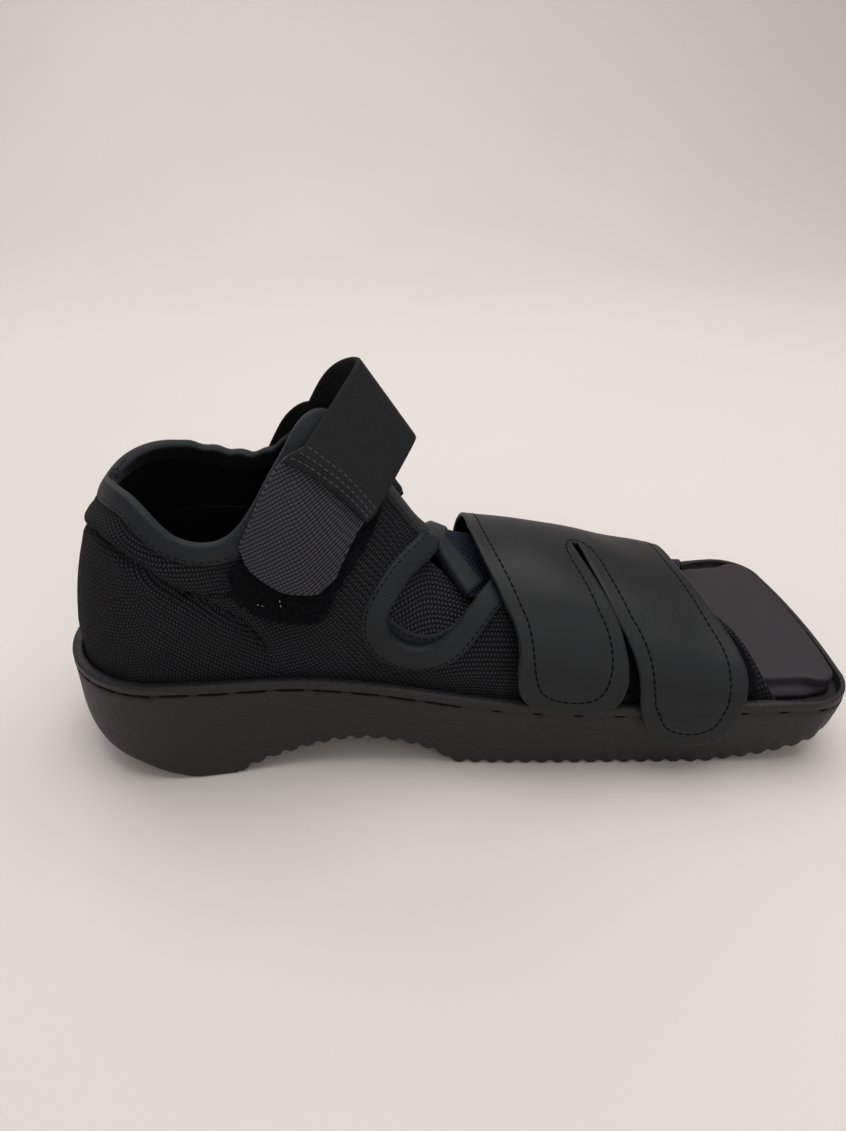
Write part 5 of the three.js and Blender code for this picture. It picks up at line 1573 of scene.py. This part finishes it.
# %% Seam of the forefoot strap
SEAM_INSET = 4.5
far_rear = line((REAR_ROOT[0], STRAP_END - 6), REAR_ROOT)
far_front = line(FRONT_ROOT, (FRONT_ROOT[0], STRAP_END - 6))
strap_edges = [far_rear(shares), edge(REAR_BACK)(shares[::-1]), edge(REAR_TIP)(shares)]
strap_edges += [edge(REAR_FRONT)(shares), edge(FRONT_BACK)(shares[::-1]), edge(FRONT_TIP)(shares)]
strap_edges += [edge(FRONT_FRONT)(shares), far_front(shares)]
strap_rim = even_path(np.concatenate(strap_edges), 1.2, 12)
strap_seam = np.stack(shifted(strap_rim[:, 0], strap_rim[:, 1], side_way(strap_rim), SEAM_INSET), -1)
strap_seam = even_path(strap_seam, 1.2, 10)


def strap_outside(rows):
    return strap_inner(rows[:, 0], rows[:, 1]) + STRAP_THICKNESS + strap_wave(rows[:, 0], rows[:, 1])


sewn("strap_seam", [skin_run(strap_seam, strap_outside(strap_seam) + 0.02)], 2.7, 2.6, 0.85, 0.3, THREAD)

# %% [markdown]
# Three rows of grey stitches join the webbing to the hook tab. They run across the webbing, so
# each row of points is worked out on the webbing's outer face.

# %% Pale rows that join the webbing to the hook tab
web_outside_run = run_along(web_outside)
ROW_DISTANCES = (1.6, 4.4, 7.2)


def across_webbing(distance):
    row = np.interp(distance, web_outside_run, np.arange(web_rows))
    low, share = int(row), row - int(row)
    points = web_outside[low] * (1 - share) + web_outside[low + 1] * share
    ahead = web_outside[low + 1] - web_outside[low]
    way = np.cross(np.gradient(points, axis=0), ahead)
    way /= np.linalg.norm(way, axis=1, keepdims=True)
    return points[1:-1], way[1:-1]


pale_rows = [across_webbing(distance) for distance in ROW_DISTANCES]
sewn("webbing_seams", pale_rows, 2.3, 1.9, 0.5, 0.4, PALE_THREAD)

# %% [markdown]
# The sole is stitched through its rim. The stitches lie in the groove: long ones round the heel and
# the arch, and short ones at the forefoot, where the groove fades.

# %% Stitches in the sole's groove
groove_ring = np.stack([OUTLINE[:, 0], -OUTLINE[:, 1], rim_height(OUTLINE[:, 0]) - GROOVE_DROP - 0.5], -1)
ring_way = np.stack([OUTWARD[:, 0], -OUTWARD[:, 1], np.zeros(len(OUTLINE))], -1)
groove_ring -= ring_way * 0.3
MIRROR = np.array([1, -1, 1])


def groove_run(low, high):
    keep = (groove_ring[:, 0] >= low * SOLE_LENGTH) & (groove_ring[:, 0] <= high * SOLE_LENGTH)
    return groove_ring[keep], ring_way[keep]


rear_points, rear_ways = groove_run(0, 0.47)
rear_run = (
    np.concatenate([rear_points[::-1], rear_points[1:] * MIRROR]),
    np.concatenate([rear_ways[::-1], rear_ways[1:] * MIRROR]),
)
sewn("rim_stitches_long", [rear_run], 13.5, 12.0, 1.1, 0.7, THREAD)
front_points, front_ways = groove_run(0.49, 0.985)
front_runs = [(front_points, front_ways), (front_points * MIRROR, front_ways * MIRROR)]
sewn("rim_stitches_short", front_runs, 14.0, 4.5, 0.9, 0.6, THREAD)

# %% [markdown]
# The loop patches are brushed, so that fine loops stand up everywhere. A hair system could grow
# them, but the export needs plain meshes. So a second tree scatters small bent fibres over the
# patch with a fixed seed.

# %% Fibres by Geometry Nodes
def fibre_tree():
    tree, given, out = new_tree("standing_fibres", ["Density", "Size"], "Pile")
    scatter = add_node(
        tree, "GeometryNodeDistributePointsOnFaces", Mesh=given["Geometry"], Density=given["Density"], Seed=7
    )
    arc = add_node(
        tree, "GeometryNodeCurveArc", Resolution=4, Radius=0.5,
        Start_Angle=math.radians(-20), Sweep_Angle=math.radians(200),
    )
    thread = add_node(tree, "GeometryNodeCurvePrimitiveCircle", Resolution=3, Radius=0.085)
    loop = add_node(tree, "GeometryNodeCurveToMesh", Curve=arc, Profile_Curve=thread, Fill_Caps=True)
    standing = add_node(tree, "GeometryNodeTransform", Geometry=loop, Rotation=(math.pi / 2, 0, 0))
    spin = add_node(
        tree, "FunctionNodeRandomValue", data_type="FLOAT_VECTOR", Min=(-0.6, -0.6, 0), Max=(0.6, 0.6, 6.28)
    )
    rotated = add_node(
        tree, "FunctionNodeRotateRotation", rotation_space="LOCAL",
        Rotation=scatter.outputs["Rotation"], Rotate_By=spin,
    )
    grow = add_node(tree, "FunctionNodeRandomValue", data_type="FLOAT", _2=0.5, _3=1.3).outputs[1]
    size = add_node(tree, MATH, operation="MULTIPLY", _0=grow, _1=given["Size"])
    placed = add_node(
        tree, "GeometryNodeInstanceOnPoints", Points=scatter, Instance=standing, Rotation=rotated, Scale=size
    )
    real = add_node(tree, "GeometryNodeRealizeInstances", _0=placed)
    dyed = add_node(tree, "GeometryNodeSetMaterial", Geometry=real, Material=given["Pile"])
    tree.links.new(dyed.outputs[0], out.inputs[0])
    print(tree.name, "has", len(tree.nodes), "nodes")
    return tree


FIBRES = fibre_tree()


def brushed(name, grid, lift, per_square_mm, size):
    columns, rows = grid.shape[:2]
    quads = grid_quads(np.arange(columns * rows).reshape(columns, rows))
    base = make_mesh(name + "_ground", skin(grid[..., 0], grid[..., 1], lift).reshape(-1, 3), quads)
    values = {"Density": per_square_mm / MM**2, "Size": size * MM, "Pile": PILE}
    return add_piece(grown(name, base, FIBRES, values))


ankle_top = np.broadcast_to(ANKLE_PATCH_TOP, ankle_grid.shape[:2])
brushed("ankle_fibres", ankle_grid, ankle_top, 1.6, 1.0)
brushed("forefoot_fibres", forefoot_grid, forefoot_top, 0.9, 1.0)

# %% [markdown]
# Pile catches lint. Two pale bits hang in the ankle's patch below the tab. They are made as very
# short seams, because a seam's grain already has the shape of a bit of thread.

# %% Two bits of lint that the pile has caught
LINT = sewing_thread("cotton_lint", "#b4b2b0", "#8a8886")
lint_rows = [np.array([(0.328, 18.2), (0.334, 18.0)]), np.array([(0.357, 19.2), (0.3575, 18.2)])]
lint_runs = [skin_run(rows, ANKLE_PATCH_TOP + 0.3) for rows in lint_rows]
sewn("lint", lint_runs, 1.7, 1.3, 0.28, 0.2, LINT)

# %% [markdown]
# The shoe stands on pale paper that curves up into a wall, as in a studio. A curved sheet has no
# corner that would draw a line behind the object, and it is wide enough for every view.

# %% Stage
floor_material, floor_tree, floor_shader = start_material("pale_paper_floor", "#e6dfda", 0.85)
floor_place = add_node(floor_tree, "ShaderNodeTexCoord").outputs["Object"]
floor_grain = add_node(floor_tree, NOISE, Vector=floor_place, Scale=4.0)
floor_mix = add_node(floor_tree, MIX, data_type="RGBA", _0=floor_grain, _6="#e4ddd8", _7="#e9e2de")
floor_tree.links.new(floor_mix.outputs[2], floor_shader.inputs["Base Color"])
COVE_REACH, COVE_START, COVE_RADIUS, COVE_TOP = 6.0, 0.9, 0.8, 5.0


def cove():
    points, faces = [], []
    profile = [(-COVE_REACH, 0.0), (COVE_START, 0.0)]
    for a in np.linspace(0.1, math.pi / 2, 14):
        profile.append((COVE_START + COVE_RADIUS * math.sin(a), COVE_RADIUS * (1 - math.cos(a))))
    profile.append((COVE_START + COVE_RADIUS, COVE_TOP))
    for y, z in profile:
        points += [(-COVE_REACH, y, z), (COVE_REACH, y, z)]
    for i in range(len(profile) - 1):
        faces.append([2 * i, 2 * i + 1, 2 * i + 3, 2 * i + 2])
    mesh = bpy.data.meshes.new("cove")
    mesh.from_pydata(points, [], faces)
    mesh.materials.append(floor_material)
    mesh.polygons.foreach_set("use_smooth", np.full(len(mesh.polygons), True))
    piece = bpy.data.objects.new("cove", mesh)
    bpy.context.scene.collection.objects.link(piece)
    return piece


cove()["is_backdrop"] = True
print("the cove turns up", COVE_START, "m behind the shoe")


# %% [markdown]
# The light is that of a photo booth: a large soft light above, a weak one in front that lifts the
# dark cloth, and a glow from behind that draws the edges. The air itself gives a little light.

# %% Lights
def area_light(name, place, target, size, power, colour):
    lamp = bpy.data.lights.new(name, "AREA")
    lamp.energy, lamp.size, lamp.color = power, size, colour
    piece = bpy.data.objects.new(name, lamp)
    piece.location = place
    piece.rotation_euler = (Vector(target) - Vector(place)).to_track_quat("-Z", "Y").to_euler()
    bpy.context.scene.collection.objects.link(piece)
    print(name, power, "W")


MIDDLE = (0.08, 0.0, 0.05)
area_light("booth_top", (0.35, 0.15, 1.5), MIDDLE, 1.4, 16.0, (1.0, 0.985, 0.975))
area_light("front_fill", (0.7, -1.5, 0.9), MIDDLE, 1.2, 4.5, (1.0, 0.99, 0.98))
area_light("back_glow", (-0.6, 1.1, 1.3), MIDDLE, 1.0, 6.0, (0.96, 0.98, 1.0))
world = bpy.data.worlds.new("booth_air")
bpy.context.scene.world = world
world.use_nodes = True
air = world.node_tree.nodes["Background"]
air.inputs["Color"].default_value = (1.0, 0.985, 0.97, 1)
air.inputs["Strength"].default_value = 0.3
bpy.context.scene.view_settings.view_transform = "Standard"

# %% [markdown]
# The photograph was taken from the side and above with a wide lens. The camera stands where a fit
# of the shoe's outlines puts it: its place, three angles and a focal length in pixels of the
# photograph, which is 1131 pixels high.

# %% Camera
PHOTO_HEIGHT, FOCAL_PIXELS, SENSOR = 1131, 790.0, 36.0
CAMERA_PLACE = (0.0631, -0.26465, 0.21936)
YAW, PITCH, ROLL = math.radians(3.78), math.radians(-30.256), math.radians(-0.691)
forward = Vector((math.sin(YAW) * math.cos(PITCH), math.cos(YAW) * math.cos(PITCH), math.sin(PITCH)))
level_right = forward.cross(Vector((0, 0, 1))).normalized()
level_up = level_right.cross(forward)
right = level_right * math.cos(ROLL) + level_up * math.sin(ROLL)
up = level_up * math.cos(ROLL) - level_right * math.sin(ROLL)
camera_data = bpy.data.cameras.new("photo_camera")
camera_data.sensor_fit = "VERTICAL"
camera_data.sensor_height = SENSOR
camera_data.lens = FOCAL_PIXELS * SENSOR / PHOTO_HEIGHT
camera_data.clip_start, camera_data.clip_end = 0.01, 50
camera = bpy.data.objects.new("photo_camera", camera_data)
turn_matrix = Matrix((right, up, -forward)).transposed().to_4x4()
camera.matrix_world = Matrix.Translation(Vector(CAMERA_PLACE)) @ turn_matrix
bpy.context.scene.collection.objects.link(camera)
bpy.context.scene.camera = camera
print("lens", round(camera_data.lens, 2), "mm")

# %% [markdown]
# Last, the box round the dressed part is set against the solids' box. Cloth may stand a little
# proud of its solid, but the object must not grow.

# %% Sizes for the record, and the end
visual_box = [list(corner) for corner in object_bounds()]
growth = (np.array(visual_box) - np.array(cad_box)) / MM
print("grew by mm:", growth.round(2).tolist())
